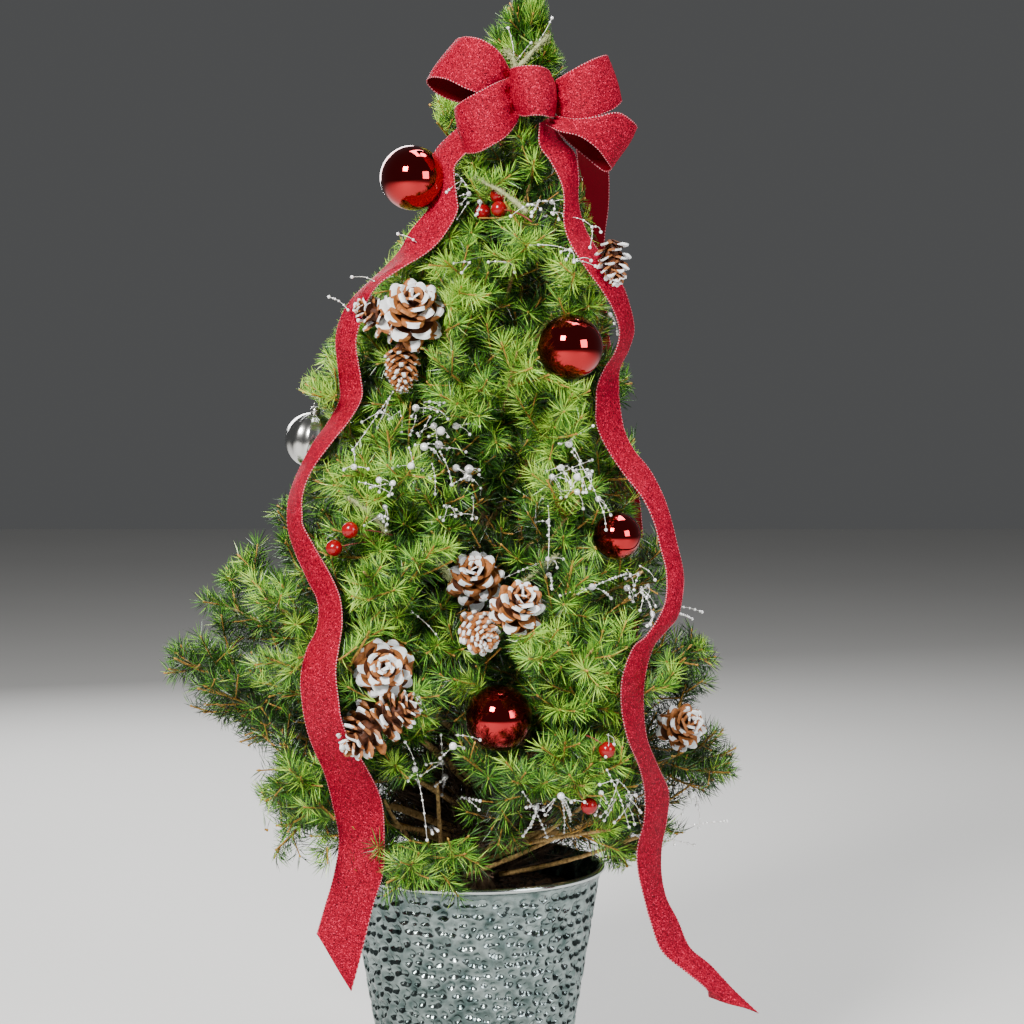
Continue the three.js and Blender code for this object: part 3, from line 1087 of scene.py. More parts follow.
@dataclass
class Skeleton:
    """All limbs, and the finer and finer shoots that grow on them by one rule."""

    trunk: Trunk = field(default_factory=Trunk)
    rule: TwigRule = field(default_factory=TwigRule)
    azimuth_play: float = 7.0
    reach_play: float = 0.07
    tip_play: float = 16.0
    foot_play: float = 4.0
    stagger: float = 8.0
    front_lift: float = 26.0
    leader_rise: float = 104.0
    leader_lean: float = 6.0
    shoot_pitch: float = 19.0
    shoot_angle: float = 50.0
    shoot_reach: float = 0.4
    shortest_shoot: float = 18.0
    longest_shoot: float = 54.0
    last_shoot: float = 0.97
    shoot_rise: float = 0.1
    shoot_roll_play: float = 62.0
    shoot_angle_play: float = 9.0
    shoot_reach_play: Pair = (0.82, 1.14)
    forking_length: float = 44.0
    pail_room: float = 150.0
    pail_clearance: float = 8.0
    blend_height: float = 70.0
    blend_turn: float = 0.6
    edge_margin: float = 22.0
    hollow_front: float = -25.0
    hollows: tuple[Four, ...] = ((560, 834, 48, 30), (432, 812, 46, 27))
    sprigs: tuple[Five, ...] = (
        (512, 770, 505, 832, -112), (508, 790, 494, 812, -112), (508, 798, 522, 818, -112),
        (506, 808, 491, 830, -112), (505, 818, 515, 842, -112), (504, 822, 498, 846, -112),
        (484, 818, 466, 812, -112), (578, 834, 590, 822, -112), (574, 838, 566, 822, -112),
        (556, 800, 566, 822, -112), (546, 804, 548, 836, 128), (556, 806, 562, 842, 120),
        (568, 806, 576, 846, 114), (580, 810, 591, 850, 106), (562, 800, 584, 830, 124),
        (574, 806, 570, 838, 126), (408, 796, 404, 834, 114), (398, 798, 392, 830, 106),
        (388, 800, 381, 824, 98), (414, 800, 415, 838, 120),
    )
    tufts: tuple[Four, ...] = (
        (518, 84, 498, 38), (514, 80, 487, 54), (518, 78, 508, 18), (522, 70, 518, 4), (528, 70, 532, 2),
        (532, 74, 545, 24), (534, 84, 552, 46), (545, 92, 563, 66), (542, 90, 556, 58),
        (536, 66, 540, 10), (524, 60, 526, 20), (512, 70, 494, 50), (450, 130, 438, 100),
        (454, 132, 446, 106), (452, 138, 434, 116),
    )
    limbs: list[Limb] = field(default_factory=list)
    minor: list[Limb] = field(default_factory=list)
    twigs: Array = field(init=False)
    shoots: Array = field(init=False)

    def grow(self) -> None:
        """Grows the limbs, their twigs and the side shoots."""
        for tier_number, tier in enumerate(TIERS):
            for index in range(tier.count):
                self.limbs.append(self.limb_of(tier, tier_number, index))
        tip = self.trunk.at(1.0)
        rise = np.array([self.leader_lean, 0, self.leader_rise])
        leader = Limb("leader", 99, np.stack([tip, tip + rise / 2, tip + rise]), 0, 4, 0.36, True)
        self.limbs.append(leader)
        for number, (low, high) in enumerate(zip(TIERS, TIERS[1:])):
            between = self.tier_between(low, high)
            for index in range(between.count):
                self.minor.append(self.limb_of(between, 20 + number, index))
        twigs = [curve for limb in self.limbs for curve in self.twigs_of(limb)]
        for limb in self.limbs + self.minor:
            limb.shorten(lambda points: SILHOUETTE.contains(points, -4))
        twigs += [curve for limb in self.minor for curve in self.minor_twigs_of(limb)]
        self.twigs = np.array(twigs)
        self.twigs = cut_at(self.twigs, run_of(self.twigs, SILHOUETTE.contains))
        self.twigs = cut_at(self.twigs, run_of(self.twigs, lambda points: ~self.in_hollow(points)))
        sprouts = [self.sprouts_on(limb.curve, limb.seed, limb.bare) for limb in self.limbs + self.minor]
        sprouts += [self.sprouts_on(curve, 200 + number, 0.14) for number, curve in enumerate(self.twigs)]
        side_shoots = np.concatenate(sprouts)
        sprouts = [side_shoots, *(self.sprouts_on(leader.curve, 70 + k, 0) for k in range(4))]
        side_shoots = np.concatenate(sprouts)
        long_ones = side_shoots[lengths_of(side_shoots) > self.forking_length]
        forks = [self.sprouts_on(curve, 3000 + number, 0.3)[:2] for number, curve in enumerate(long_ones)]
        self.shoots = np.concatenate([side_shoots, *forks, self.top_tufts()])
        log.info("%d limbs, %d twigs, %d shoots", len(self.limbs), len(self.twigs), len(self.shoots))

    def shoot_between(self, foot_at: Triple, tip_at: Triple, arch: float) -> Array:
        """Draws a shoot by its foot and tip, each given as a column, a row and a depth, and its arch."""
        foot, tip = CAMERA.place(*foot_at), CAMERA.place(*tip_at)
        return np.stack([foot, (foot + tip) / 2 + UP * arch, tip])

    def top_tufts(self) -> Array:
        """Draws the upright shoots round the leader, in front of it and behind."""
        return np.array([
            self.shoot_between((u0, v0, depth / 2), (u1, v1, depth + 10 * either(number, depth)), 3)
            for number, (u0, v0, u1, v1) in enumerate(self.tufts) for depth in (-16, 10)
        ])

    def hanging_sprigs(self) -> Array:
        """Draws the few green shoots in the open space over the pail, and those that close it behind."""
        return np.array([
            self.shoot_between((u0, v0, depth), (u1, v1, depth - 8 + 10 * either(number, 6)), 2)
            for number, (u0, v0, u1, v1, depth) in enumerate(self.sprigs)
        ])

    def limb_of(self, tier: Tier, tier_number: int, index: int) -> Limb:
        """Places one limb of a tier.

        Args:
            tier: the tier.
            tier_number: its number from the lowest up.
            index: the limb's number in it.

        Returns:
            The limb.
        """
        seed = 10 * (tier_number + 1) + index
        azimuth = math.radians(tier.turn + 360 * index / tier.count + self.azimuth_play * either(seed, 1))
        leftward = (1 - math.cos(azimuth)) / 2
        frontward = (1 - math.sin(azimuth)) / 2
        reach = tier.right + (tier.left - tier.right) * leftward
        reach *= 1 + self.reach_play * either(seed, 2)
        foot_height = tier.foot + self.stagger * (-1) ** index + self.foot_play * either(seed, 3)
        tip_height = tier.tip + self.tip_play * either(seed, 4) + self.front_lift * frontward
        foot = self.trunk.at(foot_height / self.trunk.height)
        tip = PLANT_FOOT + [reach * math.cos(azimuth), reach * math.sin(azimuth), tip_height]
        middle = (foot + tip) / 2 + UP * tier.arch
        curve = np.stack([foot, middle, tip])
        return Limb(f"{tier.name}_{index + 1}", seed, curve, tier.bare, tier.twigs)

    def tier_between(self, low: Tier, high: Tier) -> Tier:
        """Works out a whorl of finer limbs that fills the space between two tiers."""
        count = max(low.count, high.count)
        foot, tip = (low.foot + high.foot) / 2, (low.tip + high.tip) / 2
        left, right = (low.left + high.left) / 2 * 0.95, (low.right + high.right) / 2 * 0.95
        bare = max((low.bare + high.bare) / 2 - 0.1, 0.12)
        turn = low.turn + 180 / low.count + 20
        return Tier(f"{low.name}_{high.name}", count, turn, foot, tip, left, right, bare, 4, 3)

    def nearness(self, limb: Limb, point: Array) -> float:
        """Gives how near a point is to a limb."""
        return float(np.linalg.norm(limb.samples - point, axis=1).min())

    def is_own_space(self, limb: Limb, point: Array) -> bool:
        """Tells whether a point is nearer to a limb than to every other one."""
        own = self.nearness(limb, point) + self.rule.margin
        return all(self.nearness(other, point) > own for other in self.limbs if other is not limb)

    def twigs_of(self, limb: Limb) -> Iterator[Array]:
        """Draws a limb's packed twigs, at the length that its own space leaves, and those between."""
        for index in range(limb.twigs):
            scale = 1.0
            while True:
                curve = self.rule.curve(limb, index, scale)
                if np.linalg.norm(curve[2] - curve[0]) < self.rule.shortest:
                    break
                tested = curve_at(curve, np.array([0.6, 0.8, 1.0]))
                if all(self.is_own_space(limb, point) for point in tested):
                    yield curve
                    break
                scale *= self.rule.shorten
            yield self.rule.curve(limb, index + 0.5, 0.62 + 0.16 * chance(limb.seed, 60 + index))

    def minor_twigs_of(self, limb: Limb) -> Iterator[Array]:
        """Draws the twigs of a finer limb between two tiers."""
        for index in np.arange(0, limb.twigs, 0.8):
            yield self.rule.curve(limb, index, 0.72 + 0.2 * chance(limb.seed, 60 + index))

    def sprouts_on(self, parent: Array, seed: int, start: float) -> Array:
        """Grows side shoots in two ranks along a limb or twig.

        Args:
            parent: the parent's foot, middle and tip.
            seed: its number.
            start: the share of it that stays bare.

        Returns:
            The shoots' feet, middles and tips.
        """
        length = float(lengths_of(parent))
        count = max(2, round(length * (1 - start) / self.shoot_pitch))
        number = np.arange(count)
        shares = start + (self.last_shoot - start) * (number + 0.6) / count
        roots = curve_at(parent, shares)
        headings = heading_at(parent, shares)
        side, lift = frames_of(headings)
        draw = np.random.default_rng(seed)
        roll_play = draw.uniform(-self.shoot_roll_play, self.shoot_roll_play, count)
        roll = np.radians(180 * number + roll_play + 180 * (seed % 2))[:, None]
        angle_play = draw.uniform(-self.shoot_angle_play, self.shoot_angle_play, count)
        angle = np.radians(self.shoot_angle + angle_play)[:, None]
        across = side * np.cos(roll) + lift * np.sin(roll)
        direction = unit(headings * np.cos(angle) + across * np.sin(angle))
        reach = self.shoot_reach * length * (1 - shares) + self.shortest_shoot
        reach = np.minimum(reach, self.longest_shoot)[:, None]
        reach = reach * draw.uniform(*self.shoot_reach_play, (count, 1))
        tips = roots + direction * reach + UP * self.shoot_rise * reach
        return np.stack([roots, roots + direction * reach / 2, tips], axis=1)

    def trim(self, lowest: float) -> None:
        """Leaves out the shoots that would hang into the pail or leave the tree's outline.

        Args:
            lowest: the height of the pail's mouth.
        """
        tips = self.shoots[:, 2]
        away = np.hypot(tips[:, 0], tips[:, 1])
        in_pail = (tips[:, 2] < lowest + self.pail_clearance) & (away < self.pail_room)
        reach = self.outline(tips[:, 2], np.arctan2(tips[:, 1], tips[:, 0]))
        outside = (away > reach) | ~SILHOUETTE.contains(tips)
        kept = self.shoots[~(in_pail | outside | self.in_hollow(tips)) & in_box(tips, 0)]
        self.shoots = np.concatenate([kept, self.hanging_sprigs()])

    def in_hollow(self, points: Array) -> Array:
        """Tells which points would fill the open space over the pail, where bare boughs show."""
        columns, rows = CAMERA.pixels(points).T
        found = np.zeros(len(points), bool)
        for u, v, half_width, half_height in self.hollows:
            found |= np.hypot((columns - u) / half_width, (rows - v) / half_height) < 1
        return found & (points[:, 1] < self.hollow_front)

    def outline(self, height: Array, azimuth: Array) -> Array:
        """Gives how far shoots may reach from the axis at a height and azimuth."""
        tips = np.array([limb.curve[2] for limb in self.limbs[:-1]])
        radius = np.hypot(tips[:, 0], tips[:, 1])
        turn = np.arctan2(tips[:, 1], tips[:, 0])
        apart = np.abs((azimuth[:, None] - turn + np.pi) % (2 * np.pi) - np.pi)
        far = ((height[:, None] - tips[:, 2]) / self.blend_height) ** 2 + (apart / self.blend_turn) ** 2
        weight = np.exp(-far)
        return (weight * radius).sum(1) / np.maximum(weight.sum(1), 1e-6) + self.edge_margin


@dataclass
class Bark:
    """The trunk and the limbs, with bark relief, and the thinner twigs."""

    skeleton: Skeleton
    foot_radius: float = 5.6
    joint_radius: float = 3.4
    taper_power: float = 0.7
    tip_radius: float = 1.3
    relief: float = 0.1

    def build(self) -> None:
        """Builds the trunk, the limbs and the twigs."""
        self.build_trunk()
        self.build_limbs()
        self.build_twigs()

    def ridges(self, rows: int, sides: int, seed: int) -> Array:
        """Draws plates of bark, longer along the limb than across it, as factors round one."""
        draw = np.random.default_rng(seed)
        rough = draw.uniform(-1, 1, (rows, sides))
        smeared = (rough + np.roll(rough, 1, 0) + np.roll(rough, 2, 0) + 0.6 * np.roll(rough, 1, 1)) / 3
        return 1 + self.relief * smeared

    def build_trunk(self) -> None:
        """Builds the trunk, from its cut on the compost to the leader's foot."""
        rows, sides = 240, 34
        share = np.linspace(0, 1, rows) ** 1.1
        radii = self.skeleton.trunk.radii(share, ring_angles(sides)) * self.ridges(rows, sides, 3)
        piece = Workpiece("bark_trunk", "bark", TRUNK_BARK)
        piece.add_tube(self.skeleton.trunk.at(share), radii, sides)
        piece.make(replaces=["trunk"])

    def build_limbs(self) -> None:
        """Builds every limb as one tapering tube."""
        rows, sides = 44, 10
        piece = Workpiece("bark_limbs", "bark", GOLDEN_BARK)
        share = np.linspace(0, 1, rows)
        for limb in self.skeleton.limbs + self.skeleton.minor:
            bare = max(limb.bare, 0.02)
            widening = np.minimum(share / bare, 1) ** self.taper_power
            inner = self.foot_radius + (self.joint_radius - self.foot_radius) * widening
            if limb.bare == 0 or limb in self.skeleton.minor:
                inner = np.full(rows, self.joint_radius * (1 if limb.bare == 0 else 0.8))
            radius = inner + (self.tip_radius - inner) * smooth_step(bare, 1.0, share) ** 0.8
            radii = radius[:, None] * self.ridges(rows, sides, limb.seed)
            piece.add_tube(curve_at(limb.curve, share), radii, sides)
        piece.make(replaces=[f"bough_{limb.name}" for limb in self.skeleton.limbs if limb.bare > 0])

    def build_twigs(self) -> None:
        """Builds the twigs and side shoots as fine tubes, each with a bud near its tip."""
        twig = 6, (1.7, 1.5, 1.3, 1.1, 0.95, 1.4, 0.5), (0, 0.25, 0.5, 0.75, 0.93, 0.965, 1)
        shoot = 4, (1.05, 0.85, 0.7, 1.3, 0.5), (0, 0.45, 0.88, 0.94, 1)
        kinds = ("twigs", self.skeleton.twigs, *twig), ("shoots", self.skeleton.shoots, *shoot)
        for name, curves, sides, girths, stations in kinds:
            piece = Workpiece(name, "bark", YOUNG_BARK)
            radii = np.array(girths)[None].repeat(len(curves), axis=0)
            piece.add(*tubes(curve_at(curves, np.array(stations)), radii, sides))
            piece.make()


class Tone(Enum):
    """The greens of the needles, from painted shade inside the crown to pale new growth with painted
    light and painted sheen on the outermost tips.
    """

    SHADE = (0.003, 0.012, 0.001)
    DEEP = (0.008, 0.034, 0.002)
    LEAF = (0.02, 0.088, 0.008)
    FRESH_AND_LIT = (0.066, 0.21, 0.018)
    BRIGHT = (0.185, 0.44, 0.04)
    NEW = (0.45, 0.72, 0.08)


@dataclass(frozen=True)
class PaintedDaylight:
    """How many tones lighter a spray is dealt, by where it is: paler new growth and painted light on the
    outer sprays, painted light on the front, high, top and middle ones, and painted shade inside, on the
    flanks and low down.
    """

    inside: float = -2.5
    outward: float = 5.2
    frontward: float = 1.2
    play: float = 0.8
    high: float = 0.7
    high_span: Pair = (560.0, 700.0)
    top: float = 2.0
    top_span: Pair = (1010.0, 1060.0)
    middle: float = 0.4
    middle_span: Pair = (80.0, 150.0)
    flank_loss: float = 0.6
    flank_span: Pair = (120.0, 220.0)
    low_loss: float = 0.45
    low_span: Pair = (400.0, 520.0)


@dataclass
class Needles:
    """The needles on every limb, twig and shoot."""

    skeleton: Skeleton
    spacing: float = 0.36
    inner_spacing: float = 0.9
    length: float = 20.5
    width: float = 0.94
    keel: float = 0.6
    ragged: float = 3.0
    box_margin: float = 8.0
    lean_root: float = 66.0
    lean_tip: float = 30.0
    lean_play: float = 9.0
    leader_lean: float = 24.0
    leader_span: Pair = (1020.0, 1060.0)
    roll_play: float = 0.35
    rise: float = 0.1
    bare_foot: float = 0.06
    fewest: int = 8
    length_play: Pair = (0.8, 1.12)
    tip_loss: float = 0.16
    nudges: tuple[int, ...] = (-3, -2, -1, -1, 0, 0, 0, 1, 1, 2)
    painted_light: PaintedDaylight = PaintedDaylight()
    bases: Array = field(init=False)
    tips: Array = field(init=False)
    owners: Array = field(init=False)
    tones: Array = field(init=False)
    pixels: Array = field(init=False)

    def grow(self) -> None:
        """Grows the needles on all shoots and deals each shoot its tone."""
        limbs = np.array([self.outer_part(limb) for limb in self.skeleton.limbs + self.skeleton.minor])
        curves = np.concatenate([self.skeleton.shoots, self.skeleton.twigs, limbs])
        draw = np.random.default_rng(29)
        dealt = self.dealt_tones(curves, draw)
        spacing = np.where(dealt > 1, self.spacing, self.inner_spacing)
        counts = np.maximum((lengths_of(curves) / spacing).astype(int), self.fewest)
        owner = np.repeat(np.arange(len(curves)), counts)
        number = np.arange(len(owner)) - np.repeat(np.cumsum(counts) - counts, counts)
        share = (number + draw.uniform(0.2, 0.8, len(owner))) / counts[owner]
        share = self.bare_foot + (1 - self.bare_foot) * share
        mine = curves[owner]
        base = point_at(mine, share)
        heading = heading_at(mine, share[:, None])[:, 0]
        side, lift = frames_of(heading)
        roll_play = draw.uniform(-self.roll_play, self.roll_play, len(owner))
        roll = (number * GOLDEN_TURN + roll_play)[:, None]
        lean = self.lean_root + (self.lean_tip - self.lean_root) * smooth_step(0.72, 1.0, share)
        lean = lean - self.leader_lean * smooth_step(*self.leader_span, base[:, 2])
        lean = np.radians(lean + draw.uniform(-self.lean_play, self.lean_play, len(owner)))[:, None]
        out = side * np.cos(roll) + lift * np.sin(roll)
        direction = unit(heading * np.cos(lean) + out * np.sin(lean) + UP * self.rise)
        length = self.length * draw.uniform(*self.length_play, len(owner))
        length = length * (1 - self.tip_loss * smooth_step(0.86, 1.0, share))
        self.bases = base
        self.tips = base + direction * length[:, None]
        self.owners = owner
        # Needles near a shoot's tip are a tone lighter, as new growth and painted light, and those near
        # its foot a tone darker as painted shade; the rest of the nudge is a random spread.
        nudge = draw.choice(self.nudges, len(owner)) + (share > 0.7) - (share < 0.38)
        self.tones = np.clip(dealt[owner] + nudge, 0, len(Tone) - 1)
        self.pixels = CAMERA.pixels(self.tips)
        shoots, sprigs = len(self.skeleton.shoots), len(self.skeleton.sprigs)
        on_sprig = (owner >= shoots - sprigs) & (owner < shoots)
        open_space = self.skeleton.in_hollow(self.tips) & ~on_sprig
        boxed = in_box(self.tips, self.box_margin) & in_box(self.bases, self.box_margin)
        self.keep(SILHOUETTE.contains(self.tips, self.ragged) & boxed & ~open_space)

    def outer_part(self, limb: Limb) -> Array:
        """Cuts the leafy outer part off a limb's curve, as a curve of its own."""
        foot, halfway, tip = curve_at(limb.curve, np.array([limb.bare, (1 + limb.bare) / 2, 1.0]))
        return np.stack([foot, 2 * halfway - (foot + tip) / 2, tip])

    def dealt_tones(self, curves: Array, draw: Draw) -> Array:
        """Deals each spray one of the greens, the palest on the outermost shoots: new growth there, and
        painted light and shade by where each spray sits.

        Args:
            curves: the sprays' curves.
            draw: the fixed random numbers.

        Returns:
            The tone's number for each spray.
        """
        tips = curves[:, 2]
        height = tips[:, 2]
        reach = np.maximum(self.skeleton.outline(height, np.arctan2(tips[:, 1], tips[:, 0])), 40)
        trunk = self.skeleton.trunk
        offset = tips - trunk.at(np.clip((height - PLANT_FOOT[2]) / trunk.height, 0, 1))
        aside = np.abs(tips[:, 0])
        day = self.painted_light
        # Painted light makes sprays lighter further out, further front, higher up and near the middle;
        # painted shade makes them darker inside, on the flanks and low down.
        score = day.outward * np.hypot(*offset[:, :2].T) / reach
        score += day.frontward * np.clip(-offset[:, 1] / reach, 0, 1)
        score = score + draw.normal(0, day.play, len(curves)) + day.inside
        high = day.high * smooth_step(*day.high_span, height)
        score += high + day.top * smooth_step(*day.top_span, height)
        middle = day.middle * (1 - smooth_step(*day.middle_span, aside))
        score += middle - day.flank_loss * smooth_step(*day.flank_span, aside)
        score -= day.low_loss * (1 - smooth_step(*day.low_span, height))
        return np.clip(np.round(score), 0, len(Tone) - 1).astype(int)

    def depth_at(self, u: float, v: float, reach: float, behind: bool = False) -> float:
        """Finds how deep the foliage's front or back surface lies at a pixel of the photo.

        Args:
            u: the pixel's column.
            v: the pixel's row.
            reach: how far round it needles count.
            behind: whether the back surface is wanted.

        Returns:
            The depth along y.
        """
        near = np.hypot(self.pixels[:, 0] - u, self.pixels[:, 1] - v) < reach
        if near.sum() < 30:
            return 30.0 if behind else -60.0
        return float(np.percentile(self.tips[near, 1], 94 if behind else 7))

    def surface(self, azimuth: float, height: float) -> tuple[Array, Array]:
        """Finds a point on the foliage's surface all round the trunk, and the level way out to it.

        Args:
            azimuth: the direction from the axis, in degrees.
            height: the height above the floor.

        Returns:
            The point and the way out.
        """
        axis = self.skeleton.trunk.at((height - PLANT_FOOT[2]) / self.skeleton.trunk.height) * [1, 1, 0]
        offset = self.tips - axis
        turn = np.arctan2(offset[:, 1], offset[:, 0])
        apart = np.abs((turn - math.radians(azimuth) + np.pi) % (2 * np.pi) - np.pi)
        near = (apart < 0.2) & (np.abs(self.tips[:, 2] - height) < 24)
        radius = float(np.percentile(np.hypot(*offset[near, :2].T), 90)) if near.sum() > 30 else 40.0
        direction = np.array([math.cos(math.radians(azimuth)), math.sin(math.radians(azimuth)), 0])
        return axis + radius * direction + UP * height, direction

    def keep(self, wanted: Array) -> None:
        """Keeps the wanted needles only."""
        for name in ("bases", "tips", "owners", "tones", "pixels"):
            setattr(self, name, getattr(self, name)[wanted])

    def clear_pail(self, pail: Pail) -> None:
        """Leaves out the needles that would pass through the pail or its compost."""
        blocked = np.zeros(len(self.bases), bool)
        for points in (self.bases, (self.bases + self.tips) / 2, self.tips):
            near = np.hypot(points[:, 0], points[:, 1]) < pail.mouth_radius + 5
            blocked |= near & (points[:, 2] < pail.height + 2)
        self.keep(~blocked)

    def build(self) -> None:
        """Builds one piece of needles for each green."""
        masses = [limb.mass for limb in self.skeleton.limbs]
        for number, tone in enumerate(Tone):
            mine = self.tones == number
            name = f"needles_{tone.name.lower()}"
            piece = Workpiece(name, "needles", NeedleFinish(name, tone.value))
            piece.add(*kites(self.bases[mine], self.tips[mine], self.width, self.keel))
            piece.make(smooth=False, replaces=masses)


def kites(bases: Array, tips: Array, width: float, keel: float) -> tuple[Array, Array]:
    """Makes each needle a slim kite, folded along its middle.

    Args:
        bases: where the needles stand, as (n, 3).
        tips: their tips.
        width: how wide they are.
        keel: how far their sides lie behind the fold.

    Returns:
        The points and the triangles.
    """
    direction = unit(tips - bases)
    side, back = frames_of(direction)
    draw = np.random.default_rng(len(bases))
    roll = draw.uniform(0, np.pi, (len(bases), 1))
    across = side * np.cos(roll) + back * np.sin(roll)
    rear = back * np.cos(roll) - side * np.sin(roll)
    waist = bases + (tips - bases) * 0.42 - rear * keel
    left = waist - across * width / 2
    right = waist + across * width / 2
    points = np.stack([bases, left, right, tips], axis=1).reshape(-1, 3)
    corners = np.array([(0, 1, 3), (0, 3, 2)])
    faces = (corners + 4 * np.arange(len(bases))[:, None, None]).reshape(-1, 3)
    return points, faces


@dataclass
class Thicket:
    """The bare dry twigs inside the lowest boughs, with the last of their brown needles."""

    skeleton: Skeleton
    count: int = 220
    heights: Pair = (6.0, 150.0)
    room: float = 112.0
    spacing: float = 2.6
    needle: float = 9.0
    boughs: tuple[Four, ...] = (
        (465, 876, 614, 806), (482, 862, 588, 802), (442, 866, 437, 782), (428, 852, 384, 800),
        (474, 868, 524, 796), (500, 874, 640, 836),
    )

    def build(self) -> None:
        """Builds the bare boughs, the dry twigs and the dry needles."""
        draw = np.random.default_rng(8)
        stems, side_twigs = self.grow(draw)
        piece = Workpiece("dry_twigs", "bark", DRY_BARK, GOLDEN_BARK)
        for number, (u0, v0, u1, v1) in enumerate(self.boughs):
            start, end = CAMERA.place(u0, v0, -34), CAMERA.place(u1, v1, -122)
            middle = (start + end) / 2 - UP * 10 + LEVEL * 6 * either(number, 4)
            line = curve_at(np.stack([start, middle, end]), np.linspace(0, 1, 26))
            radii = np.linspace(2.7, 1.6, 26)[:, None] * draw.uniform(0.84, 1.16, (26, 8))
            piece.add_tube(line, radii, 8, finish=1)
        for curves, rows, sides, root, tip in ((stems, 8, 5, 1.9, 0.9), (side_twigs, 4, 3, 0.9, 0.5)):
            shares = np.linspace(0, 1, rows)[None].repeat(len(curves), axis=0)
            piece.add(*tubes(curve_at(curves, shares), root + (tip - root) * shares, sides))
        piece.make()
        curves = np.concatenate([stems, side_twigs])
        counts = np.maximum((lengths_of(curves) / self.spacing).astype(int), 4)
        owner = np.repeat(np.arange(len(curves)), counts)
        share = draw.uniform(0.2, 1, (len(owner), 1))
        base = curve_at(curves[owner], share)[:, 0]
        wild = unit(draw.normal(0, 1, (len(owner), 3)))
        aside = unit(heading_at(curves[owner], share)[:, 0] * 0.6 + wild)
        dry = PlainFinish("dry_needle", (0.05, 0.026, 0.012), 0.8, mottle=0.3)
        needles = Workpiece("needles_dry", "needles", dry)
        needles.add(*kites(base, base + aside * self.needle, 0.9, 0.4))
        needles.make(smooth=False)

    def grow(self, draw: Draw) -> tuple[Array, Array]:
        """Grows the dry stems on the trunk, every other one low and behind, and their side twigs."""
        behind = np.arange(self.count) % 2
        height = draw.uniform(*self.heights, self.count) * (1 - 0.5 * behind)
        azimuth = draw.uniform(0, 2 * np.pi, self.count) / (1 + behind)
        rise = draw.uniform(0.0, 1.1, self.count)
        reach = draw.uniform(0.5, 1.0, self.count) * self.room
        foot = self.skeleton.trunk.at(height / self.skeleton.trunk.height)
        out = np.stack([np.cos(azimuth), np.sin(azimuth), rise], axis=1) * reach[:, None]
        stems = np.stack([foot, foot + out / 2 - UP * 6, foot + out], axis=1)
        sprouts = [self.skeleton.sprouts_on(stem, 5000 + k, 0.2)[::2] for k, stem in enumerate(stems)]
        side_twigs = np.concatenate(sprouts)
        inside = np.hypot(side_twigs[:, 2, 0], side_twigs[:, 2, 1]) < self.room + 6
        return stems, side_twigs[inside]


@dataclass(frozen=True)
class Spot:
    """A spot on the front of the tree, named by the photo's pixel."""

    u: float
    v: float


@dataclass(frozen=True)
class Bearing:
    """A spot on the sides or back, named by its direction from the axis and its height."""

    azimuth: float
    height: float


Place = Spot | Bearing


@dataclass(frozen=True)
class Seat:
    """Where an ornament sits: its middle, the way out of the tree, and its right-hand side."""

    centre: Array
    outward: Array

    def turn(self, right: float, toward: float, up: float) -> Array:
        """Turns a direction as seen from in front of the ornament into the part's frame."""
        across = unit(np.cross(UP, self.outward))
        return unit(across * right + self.outward * toward + UP * up)


def photo_map(depth: float) -> Array:
    """Gives a map with one depth at every pixel of the photo."""
    return np.full((CAMERA.frame_side, CAMERA.frame_side), depth)


